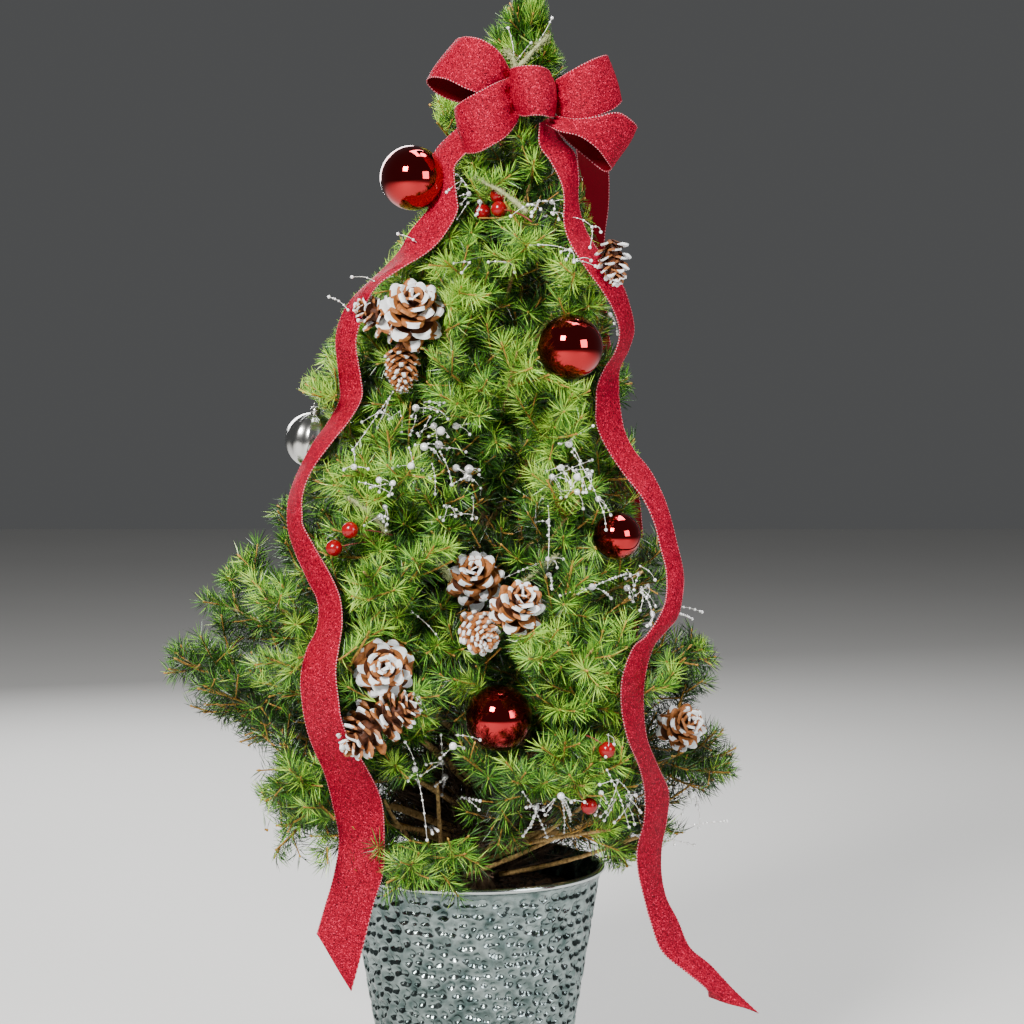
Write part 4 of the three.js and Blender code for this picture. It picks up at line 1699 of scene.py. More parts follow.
@dataclass
class Dressing:
    """Seats ornaments on the foliage, and opens it where they sit.

    One sprig, given by its rows and columns in the photo, stays in front of the ribbon.
    """

    needles: Needles
    openings: list[tuple[Array, Array, float]] = field(default_factory=list)
    before: Array = field(default_factory=lambda: photo_map(-np.inf))
    behind: Array = field(default_factory=lambda: photo_map(np.inf))
    sprig: tuple[int, int, int, int] = (824, 876, 350, 392)
    clear_ahead: float = 90.0
    clear_beside: float = 0.94
    clear_of_ribbon: float = 2.0

    def seat(self, spot: Place, radius: float, sink: float = 0.3) -> Seat:
        """Seats an ornament and opens the needles for it.

        Args:
            spot: where it shows.
            radius: its own radius.
            sink: how much of the radius lies below the foliage's surface.

        Returns:
            Its seat.
        """
        if isinstance(spot, Spot):
            depth = self.needles.depth_at(spot.u, spot.v, radius * 0.9) + radius * sink
            centre = CAMERA.place(spot.u, spot.v, depth)
            outward = unit(np.array([CAMERA.x, CAMERA.y, CAMERA.z]) - centre)
        else:
            surface, outward = self.needles.surface(spot.azimuth, spot.height)
            centre = surface - outward * radius * sink
        self.openings.append((centre, outward, radius))
        return Seat(centre, outward)

    def lie(self, points: Array, behind: bool = False) -> None:
        """Opens the needles in front of a ribbon, or behind one on the tree's back.

        Args:
            points: points all over the ribbon.
            behind: whether it is seen from behind the tree.
        """
        cells = tuple(CAMERA.cells(points))
        if behind:
            np.minimum.at(self.behind, cells, points[:, 1] - self.clear_of_ribbon)
        else:
            np.maximum.at(self.before, cells, points[:, 1] + self.clear_of_ribbon)

    def hides(self, points: Array) -> Array:
        """Tells which points lie inside an ornament or ribbon, or in front of it."""
        hidden = np.zeros(len(points), bool)
        for centre, outward, radius in self.openings:
            offset = points - centre
            along = offset @ outward
            beside = np.linalg.norm(offset - along[:, None] * outward, axis=1)
            inside = np.linalg.norm(offset, axis=1) < radius
            ahead = (along > 0) & (along < self.clear_ahead)
            hidden |= inside | (ahead & (beside < radius * self.clear_beside))
        cells = tuple(CAMERA.cells(points))
        return hidden | (points[:, 1] < self.before[cells]) | (points[:, 1] > self.behind[cells])

    def widen_maps(self) -> None:
        """Closes the gaps between a ribbon's points in the maps, and widens them by two pixels."""
        for axis in (0, 1):
            for _ in range(2):
                self.before = np.maximum.reduce([np.roll(self.before, step, axis) for step in (-1, 0, 1)])
                self.behind = np.minimum.reduce([np.roll(self.behind, step, axis) for step in (-1, 0, 1)])
        top, bottom, left, right = self.sprig
        self.before[top:bottom, left:right] = -np.inf

    def open_foliage(self) -> None:
        """Leaves out the shoots and needles that pass through the ornaments and ribbons or hide them."""
        self.widen_maps()
        needles, skeleton = self.needles, self.needles.skeleton
        shoots = skeleton.shoots
        dropped = np.zeros(len(shoots), bool)
        for share in (0.3, 0.55, 0.8, 1.0):
            dropped |= self.hides(point_at(shoots, share))
        skeleton.shoots = shoots[~dropped]
        in_sight = run_of(skeleton.twigs, lambda points: ~self.hides(points))
        skeleton.twigs = cut_at(skeleton.twigs, in_sight)
        for limb in skeleton.limbs + skeleton.minor:
            limb.shorten(lambda points: ~self.hides(points))
        on_shoot = needles.owners < len(shoots)
        needles.keep(~(on_shoot & dropped[np.minimum(needles.owners, len(shoots) - 1)]))
        hidden = np.zeros(len(needles.bases), bool)
        for share in (0.0, 0.25, 0.5, 0.75, 1.0):
            hidden |= self.hides(needles.bases + (needles.tips - needles.bases) * share)
        needles.keep(~hidden)


@dataclass(frozen=True)
class Ball:
    """One glass ball."""

    spot: Place
    radius: float = 31.5
    sink: float = 0.25


@dataclass(frozen=True)
class Balls:
    """The red mirror balls and the fluted silver ones, with caps and hanging loops."""

    red: tuple[Ball, ...] = (
        Ball(Spot(412.5, 178)),
        Ball(Spot(570, 347)),
        Ball(Spot(617, 536), 23, 0.7),
        Ball(Spot(499, 718)),
        Ball(Bearing(48, 540)),
        Ball(Bearing(95, 800)),
        Ball(Bearing(128, 500)),
        Ball(Bearing(88, 990), 31.5, 0.5),
    )
    silver: tuple[Ball, ...] = (
        Ball(Spot(312, 440), 27, 1.9),
        Ball(Bearing(75, 640), 27),
        Ball(Bearing(118, 860), 27),
    )
    rings: int = 30
    sides: int = 54
    flutes: int = 12
    flute_depth: float = 0.07

    def build(self, dressing: Dressing) -> None:
        """Builds all the balls."""
        red = PlainFinish("ball_red", (0.42, 0.002, 0.006), 0.05, 1.0, 0.6, mottle=0.02)
        silver = PlainFinish("ball_silver", (0.6, 0.6, 0.58), 0.2, 1.0, 0.3, mottle=0.04)
        cap = PlainFinish("ball_cap", (0.62, 0.61, 0.58), 0.22, 1.0, mottle=0.05)
        caps = Workpiece("ball_caps", "wire", cap)
        kinds = ("red_ball", self.red, red, False), ("silver_ball", self.silver, silver, True)
        for name, balls, finish, fluted in kinds:
            piece = Workpiece(f"{name}s", name, finish)
            for ball in balls:
                seat = dressing.seat(ball.spot, ball.radius, ball.sink)
                axis = seat.turn(0.12, 0.1, 1) if fluted else seat.turn(0.1, -1.0, 0.5)
                points, *faces = turned(ball_profile(ball.radius, self.rings), self.sides)
                if fluted:
                    angle = np.arctan2(points[:, 1], points[:, 0])
                    flute = np.abs(np.sin(angle * self.flutes / 2))
                    points[:, :2] *= (1 - self.flute_depth * flute)[:, None]
                piece.add(aimed(points, axis, seat.centre), *faces)
                self.add_cap(caps, seat.centre + axis * (ball.radius - 0.8), axis)
            piece.make()
        caps.make()

    def add_cap(self, caps: Workpiece, place: Array, axis: Array) -> None:
        """Adds a ball's crimped cap and its wire loop."""
        profile = np.array([(0, 0), (4.6, 0), (4.9, 3.4), (4.3, 6.4), (0, 6.8)], float)
        caps.add_turned(profile, 20, axis, place)
        turn = np.linspace(0, 2 * np.pi, 15)
        loop = np.stack([3.2 * np.cos(turn), 0 * turn, 9.2 + 3.2 * np.sin(turn)], axis=1)
        caps.add_tube(aimed(loop, axis, place), 0.5, 6)


@dataclass(frozen=True)
class Cone:
    """One dried cone: where it sits, its size, where its tip points, and how far it is open."""

    spot: Place
    length: float
    radius: float
    right: float
    toward: float
    up: float
    spread: float = 58.0
    snow: float = 0.4


@dataclass(frozen=True)
class Cones:
    """The dried cones, whose scales are tipped with snow."""

    cones: tuple[Cone, ...] = (
        Cone(Spot(412, 313), 58, 33, 0.08, 0.75, 0.5),
        Cone(Spot(380, 316), 48, 22, -0.7, 0.2, 0.3),
        Cone(Spot(402, 363), 50, 24, 0.0, 0.3, -1.0, 24, 0.5),
        Cone(Spot(613, 260), 46, 20, 0.15, 0.3, -0.9, 40, 0.9),
        Cone(Spot(475, 579), 48, 28, -0.05, 0.8, 0.42),
        Cone(Spot(518, 608), 46, 26, 0.25, 0.7, 0.5),
        Cone(Spot(477, 630), 46, 28, 0.25, 0.75, -0.3, 22),
        Cone(Spot(384, 668), 50, 29, 0.0, 1.0, 0.05),
        Cone(Spot(398, 712), 42, 21, 0.5, 0.2, 0.3),
        Cone(Spot(368, 730), 56, 28, -0.6, 0.5, -0.5),
        Cone(Spot(682, 727), 46, 25, 0.35, 0.75, 0.2, 50, 0.3),
        Cone(Bearing(60, 890), 48, 23, 0.1, 0.4, -0.9, 40),
        Cone(Bearing(62, 700), 50, 25, 0.2, 0.7, -0.6),
        Cone(Bearing(85, 460), 54, 27, -0.3, 0.8, -0.3),
        Cone(Bearing(98, 485), 48, 24, 0.4, 0.7, -0.2),
        Cone(Bearing(108, 690), 50, 26, 0.3, 0.8, -0.4),
        Cone(Bearing(130, 740), 46, 22, -0.2, 0.6, -0.7, 42),
    )
    scales: int = 32
    thickness: float = 0.06
    closed_spread: float = 30.0
    closed_girth: float = 0.72
    core: Pair = (0.36, 0.4)
    tilt_play: float = 5.0
    roll_play: float = 0.08

    def build(self, dressing: Dressing) -> None:
        """Builds all the cones as one piece."""
        brown = PlainFinish("cone_scale", (0.085, 0.022, 0.005), 0.6, grain=5, mottle=0.55, depth=0.2)
        pale = PlainFinish("cone_edge", (0.33, 0.11, 0.024), 0.6, grain=3, mottle=0.25, depth=0.2)
        snow = PlainFinish("cone_snow", (0.82, 0.84, 0.85), 0.75, grain=1.5, mottle=0.06, depth=0.3)
        piece = Workpiece("cones", "cone", brown, pale, snow)
        for number, cone in enumerate(self.cones):
            seat = dressing.seat(cone.spot, cone.radius, 0.25)
            axis = seat.turn(cone.right, cone.toward, cone.up)
            self.add_cone(piece, cone, seat.centre, axis, np.random.default_rng(40 + number))
        piece.make(smooth=False)

    def add_cone(self, piece: Workpiece, cone: Cone, centre: Array, axis: Array, draw: Draw) -> None:
        """Adds one cone's core and scales.

        Args:
            piece: the piece that takes them.
            cone: the cone.
            centre: its middle.
            axis: where its tip points.
            draw: the fixed random numbers.
        """
        core = ball_profile(1.0, 9) * [cone.radius * self.core[0], cone.length * self.core[1]]
        piece.add_turned(core, 12, axis, centre)
        across, along, rise, quads, row, column = self.scale_shape()
        closed = cone.spread < self.closed_spread
        scales = self.scales * 2 if closed else self.scales
        girth = self.closed_girth if closed else 1.0
        for number in range(scales):
            share = (number + 0.5) / scales
            swell = math.sin(math.pi * (0.24 + 0.7 * share)) ** 0.7
            reach = cone.radius * (0.3 + 0.62 * swell)
            half = cone.radius * (0.13 + 0.21 * swell) * girth
            tilt_play = draw.uniform(-self.tilt_play, self.tilt_play)
            tilt = math.radians(cone.spread * (1.25 - 1.38 * share) + tilt_play)
            roll = number * GOLDEN_TURN + draw.uniform(-self.roll_play, self.roll_play)
            outward = np.array([math.cos(roll), math.sin(roll), 0])
            sideways = np.array([-math.sin(roll), math.cos(roll), 0])
            ahead = UP * math.cos(tilt) + outward * math.sin(tilt)
            face = outward * math.cos(tilt) - UP * math.sin(tilt)
            root = UP * cone.length * (share * 0.84 - 0.48) + outward * cone.radius * 0.16 * swell
            shape = root + across[:, None] * sideways * half
            shape = shape + along[:, None] * ahead * reach + rise[:, None] * face * reach
            spread = draw.uniform(0.9, 1.5) if closed else draw.uniform(0.7, 2.3) + cone.snow
            middle = 0 if closed else draw.uniform(-1.0, 1.0)
            snowy = draw.uniform() < 0.5 + cone.snow
            first_row = 2 if closed or draw.uniform() < cone.snow else 3
            blotch = (row >= first_row) & (np.abs(column - middle) < spread)
            pale_row = 2 if closed or draw.uniform() < 0.5 else 3
            numbers = np.where(blotch & snowy, 2, np.where(row >= pale_row, 1, 0))
            piece.add(aimed(shape, axis, centre), quads, finish=[numbers])

    def scale_shape(self) -> tuple[Array, Array, Array, Array, Array, Array]:
        """Draws a scale: its points across, along and above itself, its faces, their rows and columns."""
        stations = np.array([0, 0.42, 0.7, 0.87, 1.0])
        halves = np.array([0.36, 0.74, 1.0, 0.98, 0.78])
        columns = 7
        place = np.linspace(-1, 1, columns)
        across = (halves[:, None] * place).ravel()
        rounded = stations[:, None] - 0.24 * stations[:, None] ** 2 * place**2
        bend = 0.3 * stations[:, None] ** 3 - 0.07 * place**2
        thick = self.thickness * (0.6 + 1.1 * stations[:, None] ** 2) * np.ones(columns)
        total = len(stations) * columns
        top = grid_faces(len(stations), columns)
        last = total - columns
        rim = list(range(columns)) + list(range(2 * columns - 1, total, columns))
        rim += list(range(total - 2, last - 1, -1)) + list(range(last - columns, 0, -columns))
        follow = rim[1:] + rim[:1]
        wall = np.array([(a, a + total, b + total, b) for a, b in zip(rim, follow)])
        quads = np.concatenate([top, top[:, ::-1] + total, wall])
        rows = np.repeat(np.arange(len(stations) - 1), columns - 1)
        wall_rows = np.minimum(np.array(rim), np.array(follow)) // columns
        row = np.concatenate([rows, rows, np.where(wall_rows == len(stations) - 1, 3, wall_rows)])
        columns_across = np.tile(np.arange(columns - 1) - (columns - 2) / 2, len(stations) - 1)
        wall_columns = np.array(rim) % columns - (columns - 1) / 2
        column = np.concatenate([columns_across, columns_across, wall_columns])
        rise = np.concatenate([bend.ravel(), (bend - thick).ravel()])
        return np.tile(across, 2), np.tile(rounded.ravel(), 2), rise, quads, row, column


@dataclass(frozen=True)
class Wire:
    """A wire or stem over the front, from one pixel of the photo to another."""

    u0: float
    v0: float
    u1: float
    v1: float

    def line(self, dressing: Dressing, lift: float, count: int, bow: float = 6.0) -> Array:
        """Lays the wire just in front of the needles.

        Args:
            dressing: the dressing, which knows the foliage.
            lift: how far in front it lies.
            count: how many points it gets.
            bow: how far its middle bends out.

        Returns:
            The wire's points.
        """
        share = np.linspace(0, 1, count)
        pixels = (self.u0, self.v0), (self.u1, self.v1)
        depth_at = dressing.needles.depth_at
        start, end = (CAMERA.place(*pixel, depth_at(*pixel, 16) - lift) for pixel in pixels)
        drop = np.array([0.3, -1, 0.35]) * bow
        return start + (end - start) * share[:, None] + drop * np.sin(np.pi * share)[:, None]


@dataclass(frozen=True)
class Picks:
    """Berries on wires, flocked stems, and sprays of silver beads."""

    berries: tuple[Pair, ...] = (
        (498, 195), (483, 212), (499, 209), (350, 530), (334, 548), (607, 750), (589, 806),
    )
    back_berries: tuple[Pair, ...] = ((78, 740), (82, 758), (122, 620), (119, 640), (60, 580))
    berry_wires: tuple[Four, ...] = (
        (350, 530, 392, 535), (334, 548, 388, 540), (499, 209, 532, 222), (607, 750, 585, 735),
    )
    stems: tuple[Four, ...] = (
        (527, 212, 474, 178), (386, 532, 348, 497), (516, 70, 504, 50), (516, 70, 548, 36),
        (556, 557, 522, 584), (430, 558, 449, 578),
    )
    wires: tuple[Four, ...] = (
        (393, 392, 353, 450), (353, 450, 354, 467), (389, 399, 377, 428), (416, 416, 410, 435),
        (429, 406, 448, 419), (430, 417, 419, 436), (442, 448, 466, 452), (440, 452, 452, 485),
        (409, 448, 414, 482), (432, 464, 435, 494), (359, 482, 392, 494), (472, 496, 472, 519),
        (444, 506, 461, 514), (569, 441, 593, 426), (553, 477, 592, 460), (572, 452, 598, 500),
        (552, 477, 543, 498), (556, 479, 561, 498), (598, 500, 606, 530), (548, 500, 547, 575),
        (592, 587, 626, 574), (592, 587, 560, 596), (627, 570, 634, 590), (640, 566, 655, 580),
        (641, 592, 652, 614), (670, 606, 702, 612), (668, 612, 692, 619), (416, 769, 427, 840),
        (441, 735, 442, 825), (441, 795, 480, 801), (455, 735, 480, 740), (416, 769, 405, 742),
        (523, 792, 547, 837), (534, 816, 523, 836), (561, 796, 564, 836), (607, 770, 629, 827),
        (618, 780, 606, 812), (686, 826, 727, 821), (655, 838, 694, 845), (696, 796, 699, 828),
        (690, 790, 672, 836), (570, 217, 592, 227), (530, 245, 570, 250), (570, 250, 574, 262),
        (552, 202, 528, 205), (457, 219, 468, 203), (469, 194, 457, 175), (374, 281, 352, 277),
        (348, 310, 329, 297), (420, 246, 398, 234), (514, 64, 508, 28), (514, 64, 531, 43),
        (540, 40, 552, 18), (500, 580, 548, 560), (440, 640, 412, 612),
    )
    beads: tuple[Triple, ...] = (
        (416, 408, 4.3), (425, 402, 2), (434, 426, 4), (441, 431, 5), (456, 426, 4), (424, 447, 4.6),
        (439, 445, 4.8), (411, 466, 4), (456, 468, 4.2), (469, 469, 5), (468, 477, 5), (379, 480, 3.5),
        (393, 483, 3.2), (385, 507, 3), (380, 517, 4), (354, 467, 3.4), (380, 412, 2.6), (569, 444, 4.3),
        (561, 468, 4), (567, 466, 3), (552, 477, 3.5), (577, 477, 4), (589, 475, 4), (577, 492, 3.5),
        (598, 499, 3.5), (576, 470, 3), (627, 588, 4), (641, 589, 3), (638, 574, 3), (647, 586, 3.5),
        (652, 614, 3.5), (592, 587, 4), (548, 522, 3), (548, 559, 3), (549, 575, 3), (692, 795, 4),
        (665, 836, 3), (632, 835, 3), (618, 780, 3), (626, 795, 3), (628, 805, 2.5), (615, 800, 2.5),
        (562, 800, 3), (536, 807, 4), (608, 735, 2.5), (416, 779, 4.5), (415, 769, 3.5), (445, 777, 4),
        (441, 763, 4), (453, 746, 4.2), (425, 825, 2), (442, 795, 2), (462, 797, 2), (561, 796, 4),
        (555, 798, 3), (601, 793, 3), (469, 194, 3), (480, 202, 3), (462, 181, 2), (552, 202, 3),
        (528, 205, 2.5), (539, 201, 2), (552, 213, 2), (570, 250, 2.5), (574, 260, 2), (610, 315, 3),
        (592, 227, 1.8), (400, 412, 2), (446, 505, 2), (461, 514, 2), (505, 262, 2), (470, 262, 1.8),
    )
    back_sprays: tuple[Pair, ...] = ((66, 820), (70, 570), (100, 920), (112, 580), (124, 690), (100, 400))
    stem_points: int = 24
    stem_sides: int = 9
    stem_radii: Pair = (2.3, 1.3)
    hairs: int = 500
    hair: float = 3.4
    berry_radius: float = 7.8
    bead_pitch: float = 9.0

    def build(self, dressing: Dressing) -> None:
        """Builds the berries, the stems and the bead sprays."""
        self.build_berries(dressing)
        self.build_stems(dressing)
        self.build_sprays(dressing)

    def build_berries(self, dressing: Dressing) -> None:
        """Builds the glossy berries and their wires."""
        red = PlainFinish("berry_red", (0.27, 0.0, 0.004), 0.2, mottle=0.1)
        piece = Workpiece("berries", "berry", red, PlainFinish("berry_wire", (0.2, 0.03, 0.02), 0.5))
        spots = [Spot(*pair) for pair in self.berries] + [Bearing(*pair) for pair in self.back_berries]
        for spot in spots:
            seat = dressing.seat(spot, self.berry_radius, -0.25)
            piece.add_turned(ball_profile(self.berry_radius, 16), 24, UP, seat.centre)
        for ends in self.berry_wires:
            piece.add_tube(Wire(*ends).line(dressing, 0, 9), 0.8, 6, finish=1)
        piece.make()

    def build_stems(self, dressing: Dressing) -> None:
        """Builds the pale green flocked stems."""
        flock = PlainFinish("flock_green", (0.34, 0.37, 0.17), 0.95, grain=1.2, mottle=0.3, depth=0.6)
        piece = Workpiece("flocked_stems", "flock", flock)
        for ends in self.stems:
            line = Wire(*ends).line(dressing, 4, self.stem_points)
            draw = np.random.default_rng(ends[0])
            lumps = draw.uniform(0.7, 1.3, (self.stem_points, self.stem_sides))
            radii = np.linspace(*self.stem_radii, self.stem_points)[:, None] * lumps
            piece.add_tube(line, radii, self.stem_sides)
            roots = line[draw.integers(0, self.stem_points, self.hairs)]
            roots = roots + draw.normal(0, 1.6, (self.hairs, 3))
            tips = roots + unit(draw.normal(0, 1, (self.hairs, 3))) * self.hair
            piece.add(*kites(roots, tips, 0.7, 0.3))
        piece.make()

    def build_sprays(self, dressing: Dressing) -> None:
        """Builds the fine wires and the beads on them."""
        pearl = PlainFinish("bead_silver", (1.0, 0.98, 0.99), 0.14, 0.15, 1.0, 1.6, 0.12, 0.4)
        thread = PlainFinish("bead_wire", (0.75, 0.73, 0.68), 0.35, 0.4)
        piece = Workpiece("bead_sprays", "bead", pearl, thread)
        for number, ends in enumerate(self.wires):
            self.add_wire(piece, Wire(*ends).line(dressing, 5, 12, 5), number)
        draw = np.random.default_rng(60)
        for number, (u, v, radius) in enumerate(self.beads):
            seat = dressing.seat(Spot(u, v), radius, -0.9)
            for turn in draw.uniform(0, 2 * np.pi, 2):
                reach = draw.uniform(9, 24)
                twist = Wire(u, v, u + reach * math.cos(turn), v + abs(reach * math.sin(turn)))
                self.add_wire(piece, twist.line(dressing, 5, 9, draw.uniform(2, 7)), 200 + number)
            piece.add_turned(ball_profile(0.88 * radius, 9), 14, UP, seat.centre)
        for number, pair in enumerate(self.back_sprays):
            seat = dressing.seat(Bearing(*pair), 3)
            draw = np.random.default_rng(70 + number)
            for turn in np.arange(7) * GOLDEN_TURN + number:
                ahead = seat.turn(math.cos(turn), draw.uniform(0.2, 0.7), math.sin(turn))
                share = np.linspace(0, 1, 12)[:, None]
                line = seat.centre + ahead * draw.uniform(20, 50) * share
                line = line + draw.uniform(-14, 14, 3) * share**2 - UP * 10 * share**2
                self.add_wire(piece, line, 50 + number)
                piece.add_turned(ball_profile(4.0, 9), 14, UP, line[-1])
        piece.make()

    def add_wire(self, piece: Workpiece, line: Array, number: int) -> None:
        """Adds one wire with its row of small beads.

        Args:
            piece: the piece that takes them.
            line: the wire's points.
            number: the wire's number.
        """
        piece.add_tube(line, 0.3, 5, finish=1)
        length = float(np.linalg.norm(line[-1] - line[0]))
        count = max(2, round(length / self.bead_pitch))
        for bead in range(count + 1):
            share = (bead + 0.25 * either(number, bead) * (bead < count)) / count
            place = line[0] + (line[-1] - line[0]) * max(share, 0)
            near = line[np.argmin(np.linalg.norm(line - place, axis=1))]
            radius = 1.7 if bead == count else 1.1 + 0.4 * either(number, 40 + bead)
            piece.add_turned(ball_profile(radius, 6), 8, UP, near)


RIBBON_FINISHES = (
    GlitterFinish(), SatinFinish(), PlainFinish("ribbon_stitch", (0.62, 0.2, 0.23), 0.5, mottle=0.1),
)


@dataclass(frozen=True)
class Cloth:
    """Wired ribbon: glitter in front, plain satin behind, stitched along both edges."""

    thickness: float = 0.7
    columns: int = 13
    edge_radius: float = 0.6
    stitch: float = 1.5
    cup: float = 1.6
    pleats: int = 5
    pleat_run: float = 14.0
    wave: float = 0.5
    wave_run: float = 9.0

    def add(self, piece: Workpiece, left: Array, right: Array, gather: float = 0.0) -> Array:
        """Adds a band between two edges.

        Args:
            piece: the piece that takes it.
            left: its left edge, seen with the glitter in front.
            right: its right edge.
            gather: how deep the pleats at its first end are.

        Returns:
            Points all over it.
        """
        share = np.linspace(0, 1, self.columns)
        sheet = left[:, None] + (right - left)[:, None] * share[:, None]
        along = np.gradient(sheet, axis=0)
        normal = unit(np.cross(along, (right - left)[:, None]))
        steps = np.diff(sheet[:, self.columns // 2], axis=0)
        walked = np.concatenate([[0], np.cumsum(np.linalg.norm(steps, axis=1))])
        ends = np.minimum(walked, walked[-1] - walked)[:, None]
        pleats = gather * np.exp(-ends / self.pleat_run) * np.sin(share * self.pleats * np.pi)
        waves = self.wave * np.sin(walked / self.wave_run)[:, None] * np.sin(share * 2 * np.pi)
        bulge = self.cup * (1 - (2 * share - 1) ** 2) + pleats + waves
        front = sheet + normal * bulge[..., None]
        back = front - normal * self.thickness
        grid = grid_faces(len(left), self.columns)
        piece.add(front.reshape(-1, 3), grid[:, ::-1])
        piece.add(back.reshape(-1, 3), grid, finish=1)
        for edge in (0, -1):
            self.add_edge(piece, (front[:, edge] + back[:, edge]) / 2, walked)
        return front.reshape(-1, 3)

    def add_edge(self, piece: Workpiece, line: Array, walked: Array) -> None:
        """Adds the stitched wire along an edge, in pale and red stitches by turns."""
        count = max(8, int(walked[-1] / self.stitch))
        steps = np.interp(np.linspace(0, walked[-1], count), walked, np.arange(len(walked)))
        low = np.minimum(steps.astype(int), len(line) - 2)
        fine = line[low] + (line[low + 1] - line[low]) * (steps - low)[:, None]
        sides = 5
        stitch = np.where(np.repeat(np.arange(count - 1), sides) % 2 == 0, 2, 0)
        piece.add(*tubes(fine[None], np.full((1, count), self.edge_radius), sides), finish=[stitch, 0])


@dataclass(frozen=True)
class Loop:
    """One loop of the bow, as top and bottom edge pixels and depths along it."""

    stations: tuple[Five, ...]
    leftward: bool

    def edges(self, count: int) -> tuple[Array, Array]:
        """Gives the loop's left and right edges, with the glitter in front."""
        top = spline(np.array([CAMERA.place(u, v, y) for u, v, _, _, y in self.stations]), count)
        bottom = spline(np.array([CAMERA.place(u, v, y) for _, _, u, v, y in self.stations]), count)
        return (top, bottom) if self.leftward else (bottom, top)


@dataclass(frozen=True)
class Bow:
    """The four loops of the bow and the ring of ribbon round their middle."""

    upper_left: Loop = Loop((
        (510, 70, 508, 99, -78), (500, 53, 486, 95, -92), (484, 41, 466, 88, -96),
        (468, 37, 447, 79, -88), (457, 39, 431, 77, -72), (455, 44, 427, 83, -58),
        (466, 50, 440, 95, -48), (486, 62, 464, 103, -46), (508, 78, 500, 102, -56),
    ), True)
    lower_left: Loop = Loop((
        (509, 78, 518, 121, -82), (494, 84, 506, 136, -98), (477, 93, 490, 146, -104),
        (463, 101, 478, 152, -98), (455, 108, 467, 153, -84), (456, 112, 466, 150, -70),
        (468, 106, 480, 143, -62), (490, 96, 496, 130, -60), (510, 90, 514, 116, -66),
    ), True)
    upper_right: Loop = Loop((
        (556, 80, 557, 115, -76), (571, 71, 572, 121, -90), (590, 61, 592, 117, -92),
        (603, 56, 611, 110, -82), (608, 56, 621, 102, -68), (606, 60, 619, 100, -54),
        (592, 68, 600, 104, -44), (572, 80, 578, 108, -46), (556, 90, 560, 112, -56),
    ), False)
    lower_right: Loop = Loop((
        (556, 116, 546, 124, -84), (575, 119, 560, 131, -96), (597, 117, 580, 136, -100),
        (618, 113, 598, 149, -94), (633, 122, 609, 164, -80), (637, 128, 611.7, 169, -68),
        (630, 130, 604, 171, -56), (612, 125, 586, 157, -48), (590, 122, 568, 142, -48),
        (562, 118, 556, 130, -58),
    ), False)
    ring: Loop = Loop((
        (514, 73, 521, 112, -64), (510, 70, 517, 114, -80), (514, 67.5, 524, 116, -97),
        (524, 66, 532, 115, -107), (537, 66, 543, 115, -107), (547, 69, 551, 117, -97),
        (551, 74, 555, 116, -80), (549, 76, 552, 113, -64),
    ), False)

    def build(self, dressing: Dressing) -> None:
        """Builds the bow."""
        piece = Workpiece("bow", "ribbon", *RIBBON_FINISHES)
        cloth = Cloth()
        for loop in (self.upper_left, self.upper_right, self.lower_left, self.lower_right):
            dressing.lie(cloth.add(piece, *loop.edges(84), gather=2.4))
        dressing.lie(Cloth(cup=4.0).add(piece, *self.ring.edges(56)))
        piece.make()


@dataclass(frozen=True)
class Streamer:
    """One long tail of ribbon, as left and right edge pixels down it."""

    name: str
    stations: tuple[Four, ...]
    near_left: bool
    behind: bool = False
    width: float = 48.0
    deepest_turn: float = 15.0
    bow_depth: float = -66.0
    hang: float = -150.0
    free_rows: Pair = (750.0, 840.0)
    lift: float = 3.0
    reach: float = 22.0
    shown_share: float = 0.96
    steps: int = 9
    columns: int = 25
    clear_from: float = 15.0

    def depths(self, needles: Needles) -> Array:
        """Finds the depths at which the tail lies on the foliage, and hangs below it."""
        depths = []
        for left_u, left_v, right_u, right_v in self.stations:
            u, v = (left_u + right_u) / 2, (left_v + right_v) / 2
            depth = needles.depth_at(u, v, self.reach, self.behind)
            depths.append(depth if self.behind else depth - self.lift)
        line = np.array(depths)
        line[0] = self.bow_depth
        padded = np.concatenate([line[:1], line[:1], line, line[-1:], line[-1:]])
        line = np.convolve(padded, np.full(5, 0.2), "valid")
        rows = np.array([(station[1] + station[3]) / 2 for station in self.stations])
        free = smooth_step(*self.free_rows, rows)
        return line * (1 - free) + self.hang * free

    def build(self, dressing: Dressing) -> None:
        """Builds the tail."""
        depths = self.depths(dressing.needles)
        left, right = [], []
        for (left_u, left_v, right_u, right_v), depth in zip(self.stations, depths):
            shown = math.hypot(right_u - left_u, right_v - left_v) * self.shown_share
            turn = min(math.sqrt(max(self.width**2 - shown**2, 0)) / 2, self.deepest_turn)
            turn = -turn if self.near_left else turn
            left.append(CAMERA.place(left_u, left_v, depth + turn))
            right.append(CAMERA.place(right_u, right_v, depth - turn))
        count = len(self.stations) * self.steps
        edges = spline(np.array(left), count), spline(np.array(right), count)
        if self.behind:
            edges = edges[::-1]
        piece = Workpiece(self.name, "ribbon", *RIBBON_FINISHES)
        points = Cloth(columns=self.columns).add(piece, *edges)
        if self.behind:
            points = points[points[:, 1] > self.clear_from]
        dressing.lie(points, self.behind)
        piece.make()


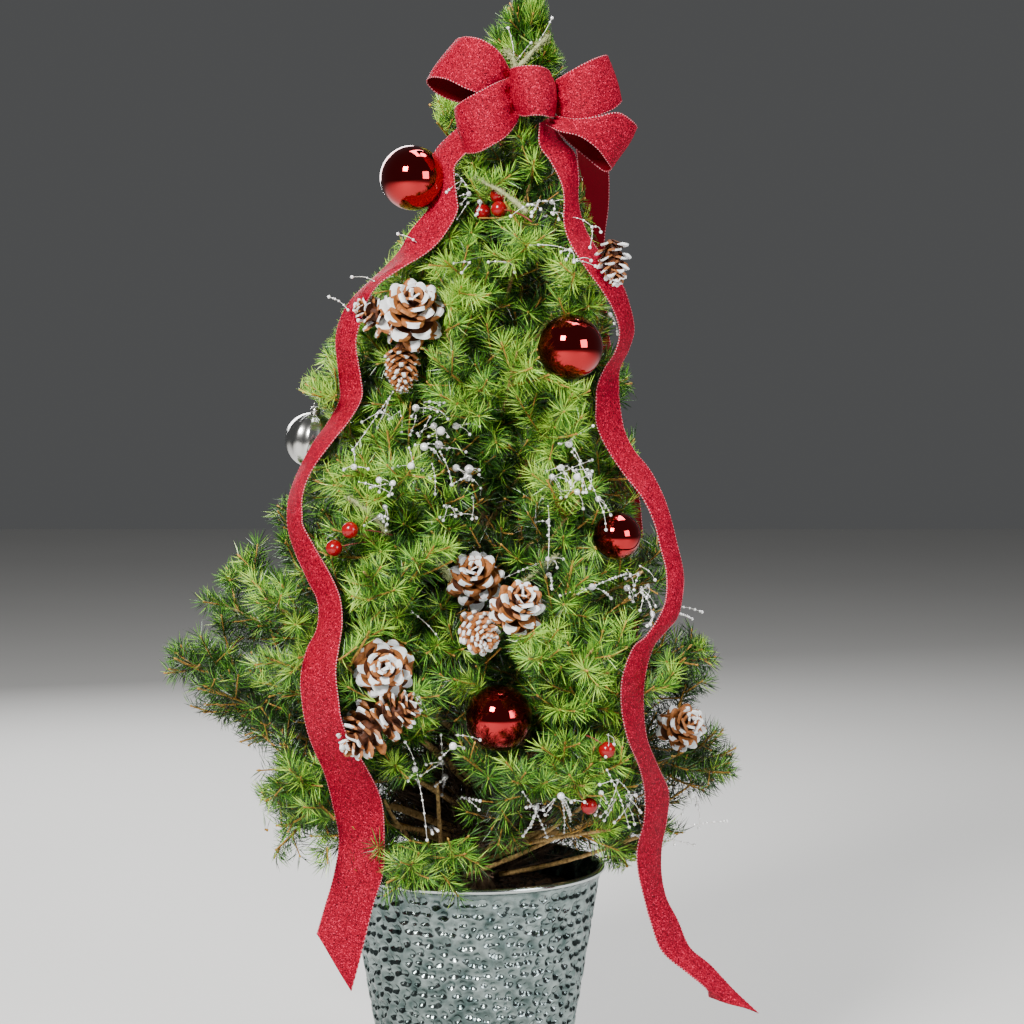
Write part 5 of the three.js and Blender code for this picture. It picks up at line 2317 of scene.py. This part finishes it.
LEFT_TAIL = (
    (458.1, 127.4, 466.8, 151.5), (438, 146.8, 459.4, 158.8), (430.6, 164.2, 454.1, 166.9),
    (429.3, 180.3, 454.1, 180.3), (429.9, 195, 456.1, 196.4), (427.9, 209.1, 456.5, 212.4),
    (411.2, 229.8, 442, 237.2), (399.8, 249.9, 425.3, 253.3), (385.7, 266, 401.8, 267.4),
    (369.7, 280.8, 379, 283.4), (352.2, 298.2, 367.6, 299.5), (340.9, 316.9, 361.6, 316.9),
    (335.5, 341, 355.5, 343), (338.9, 377.9, 360.4, 377.9), (339.4, 399.5, 361.3, 397.8),
    (328.1, 421.9, 349.7, 419.4), (313.2, 442.6, 333.1, 440.1), (298.2, 470.8, 311.5, 470),
    (289.1, 495.7, 302.1, 495.7), (287, 517.2, 301.9, 517.2), (288.8, 533.6, 303, 526.4),
    (296.8, 556.8, 315.5, 549.6), (308.4, 581.8, 329.8, 574.6), (317.9, 603.2, 339.6, 597.9),
    (316.8, 628.2, 341.8, 622.9), (306.6, 649.6, 338.8, 646.1), (300.7, 676.4, 335.4, 671.1),
    (302.1, 703.2, 337.9, 697.9), (306.6, 728.2, 341.4, 721.1), (314.6, 751.4, 350.4, 742.5),
    (325, 775, 366, 768), (333, 806, 381, 800), (339, 840, 384, 836), (334, 875, 383, 872),
    (324, 910, 373, 905), (318, 931, 360, 958), (317, 934, 351, 991),
)
RIGHT_TAIL = (
    (540, 123, 548, 118), (540, 144.8, 564, 141.1), (551.1, 161.4, 575.1, 154),
    (561.3, 181.8, 578.5, 178.1), (564.6, 198.4, 578.5, 200.3), (564.4, 222.5, 582.9, 221.6),
    (570.5, 242.8, 590.9, 239.1), (586.2, 267.8, 603.8, 257.6), (602.9, 290.9, 620.5, 280.8),
    (614, 310.4, 629.7, 304.8), (619.9, 331.6, 634.3, 329.8), (615.8, 351.1, 628.4, 351.1),
    (604.7, 368.6, 619.9, 368.6), (597.3, 387.1, 619, 389), (596.5, 403.2, 619.4, 399.9),
    (596.9, 424.8, 623.9, 428.1), (608.1, 449.6, 633.8, 449.6), (624.7, 474.5, 649.6, 469.5),
    (642.9, 497.7, 662, 492.7), (654.5, 522.6, 670.3, 515.9), (660.8, 547.4, 676.9, 542.4),
    (666.5, 570.6, 683.5, 572.3), (666.5, 597.1, 682.7, 595.5), (659.5, 617, 677.7, 617),
    (645.7, 636.8, 666.8, 630.4), (633.4, 648, 653, 648), (622.8, 677.3, 645.1, 677.3),
    (621.7, 706.6, 643.7, 706.6), (628.1, 738.9, 647.2, 738.9), (639.9, 768.2, 658.9, 768.2),
    (645.1, 794.6, 668.6, 791.7), (644.3, 821, 666.8, 821), (637.8, 847.4, 662.1, 844.5),
    (638.4, 870.9, 661.3, 870.9), (644.3, 897.2, 666.2, 897.2), (651.6, 923.6, 678, 920.7),
    (662.7, 951.5, 689.7, 947.1), (686.8, 972, 710.2, 964.7), (706, 988, 734, 990),
    (708.8, 997, 758.6, 1013.1),
)
BACK_TAIL = (
    (550, 98, 566, 104), (562, 118, 588, 120), (574, 140, 602, 140), (578, 170, 608, 170),
    (580, 205, 608, 205), (578, 240, 604, 240), (576, 285, 604, 285), (580, 330, 608, 330),
    (586, 375, 614, 375), (590, 420, 618, 420), (602, 455, 630, 455), (610, 490, 638, 490),
    (616, 560, 644, 560), (614, 600, 642, 600), (606, 640, 636, 640), (598, 690, 628, 690),
    (592, 740, 622, 740), (594, 790, 624, 790), (600, 832, 626, 832), (608, 850, 622, 850),
    (612, 862, 616, 862),
)


@dataclass(frozen=True)
class Ribbon:
    """The bow and its three long tails."""

    bow: Bow = Bow()
    tails: tuple[Streamer, ...] = (
        Streamer("ribbon_left", LEFT_TAIL, False),
        Streamer("ribbon_right", RIGHT_TAIL, True),
        Streamer("ribbon_behind", BACK_TAIL, True, True, bow_depth=-70, hang=150),
    )

    def build(self, dressing: Dressing) -> None:
        """Builds the ribbon."""
        self.bow.build(dressing)
        for tail in self.tails:
            tail.build(dressing)


def main() -> None:
    """Builds the tree, its pail and its decorations, and the studio round them."""
    logging.basicConfig(level=logging.INFO, format="%(name)s: %(message)s")
    CAMERA.set_up()
    Studio().set_up()
    pail = Pail()
    pail.build()
    skeleton = Skeleton()
    skeleton.grow()
    skeleton.trim(pail.height)
    needles = Needles(skeleton)
    needles.grow()
    needles.clear_pail(pail)
    dressing = Dressing(needles)
    for decoration in (Ribbon(), Balls(), Cones(), Picks()):
        decoration.build(dressing)
    dressing.open_foliage()
    for part in (Bark(skeleton), Thicket(skeleton), needles):
        part.build()


if __name__ == "__main__":
    main()
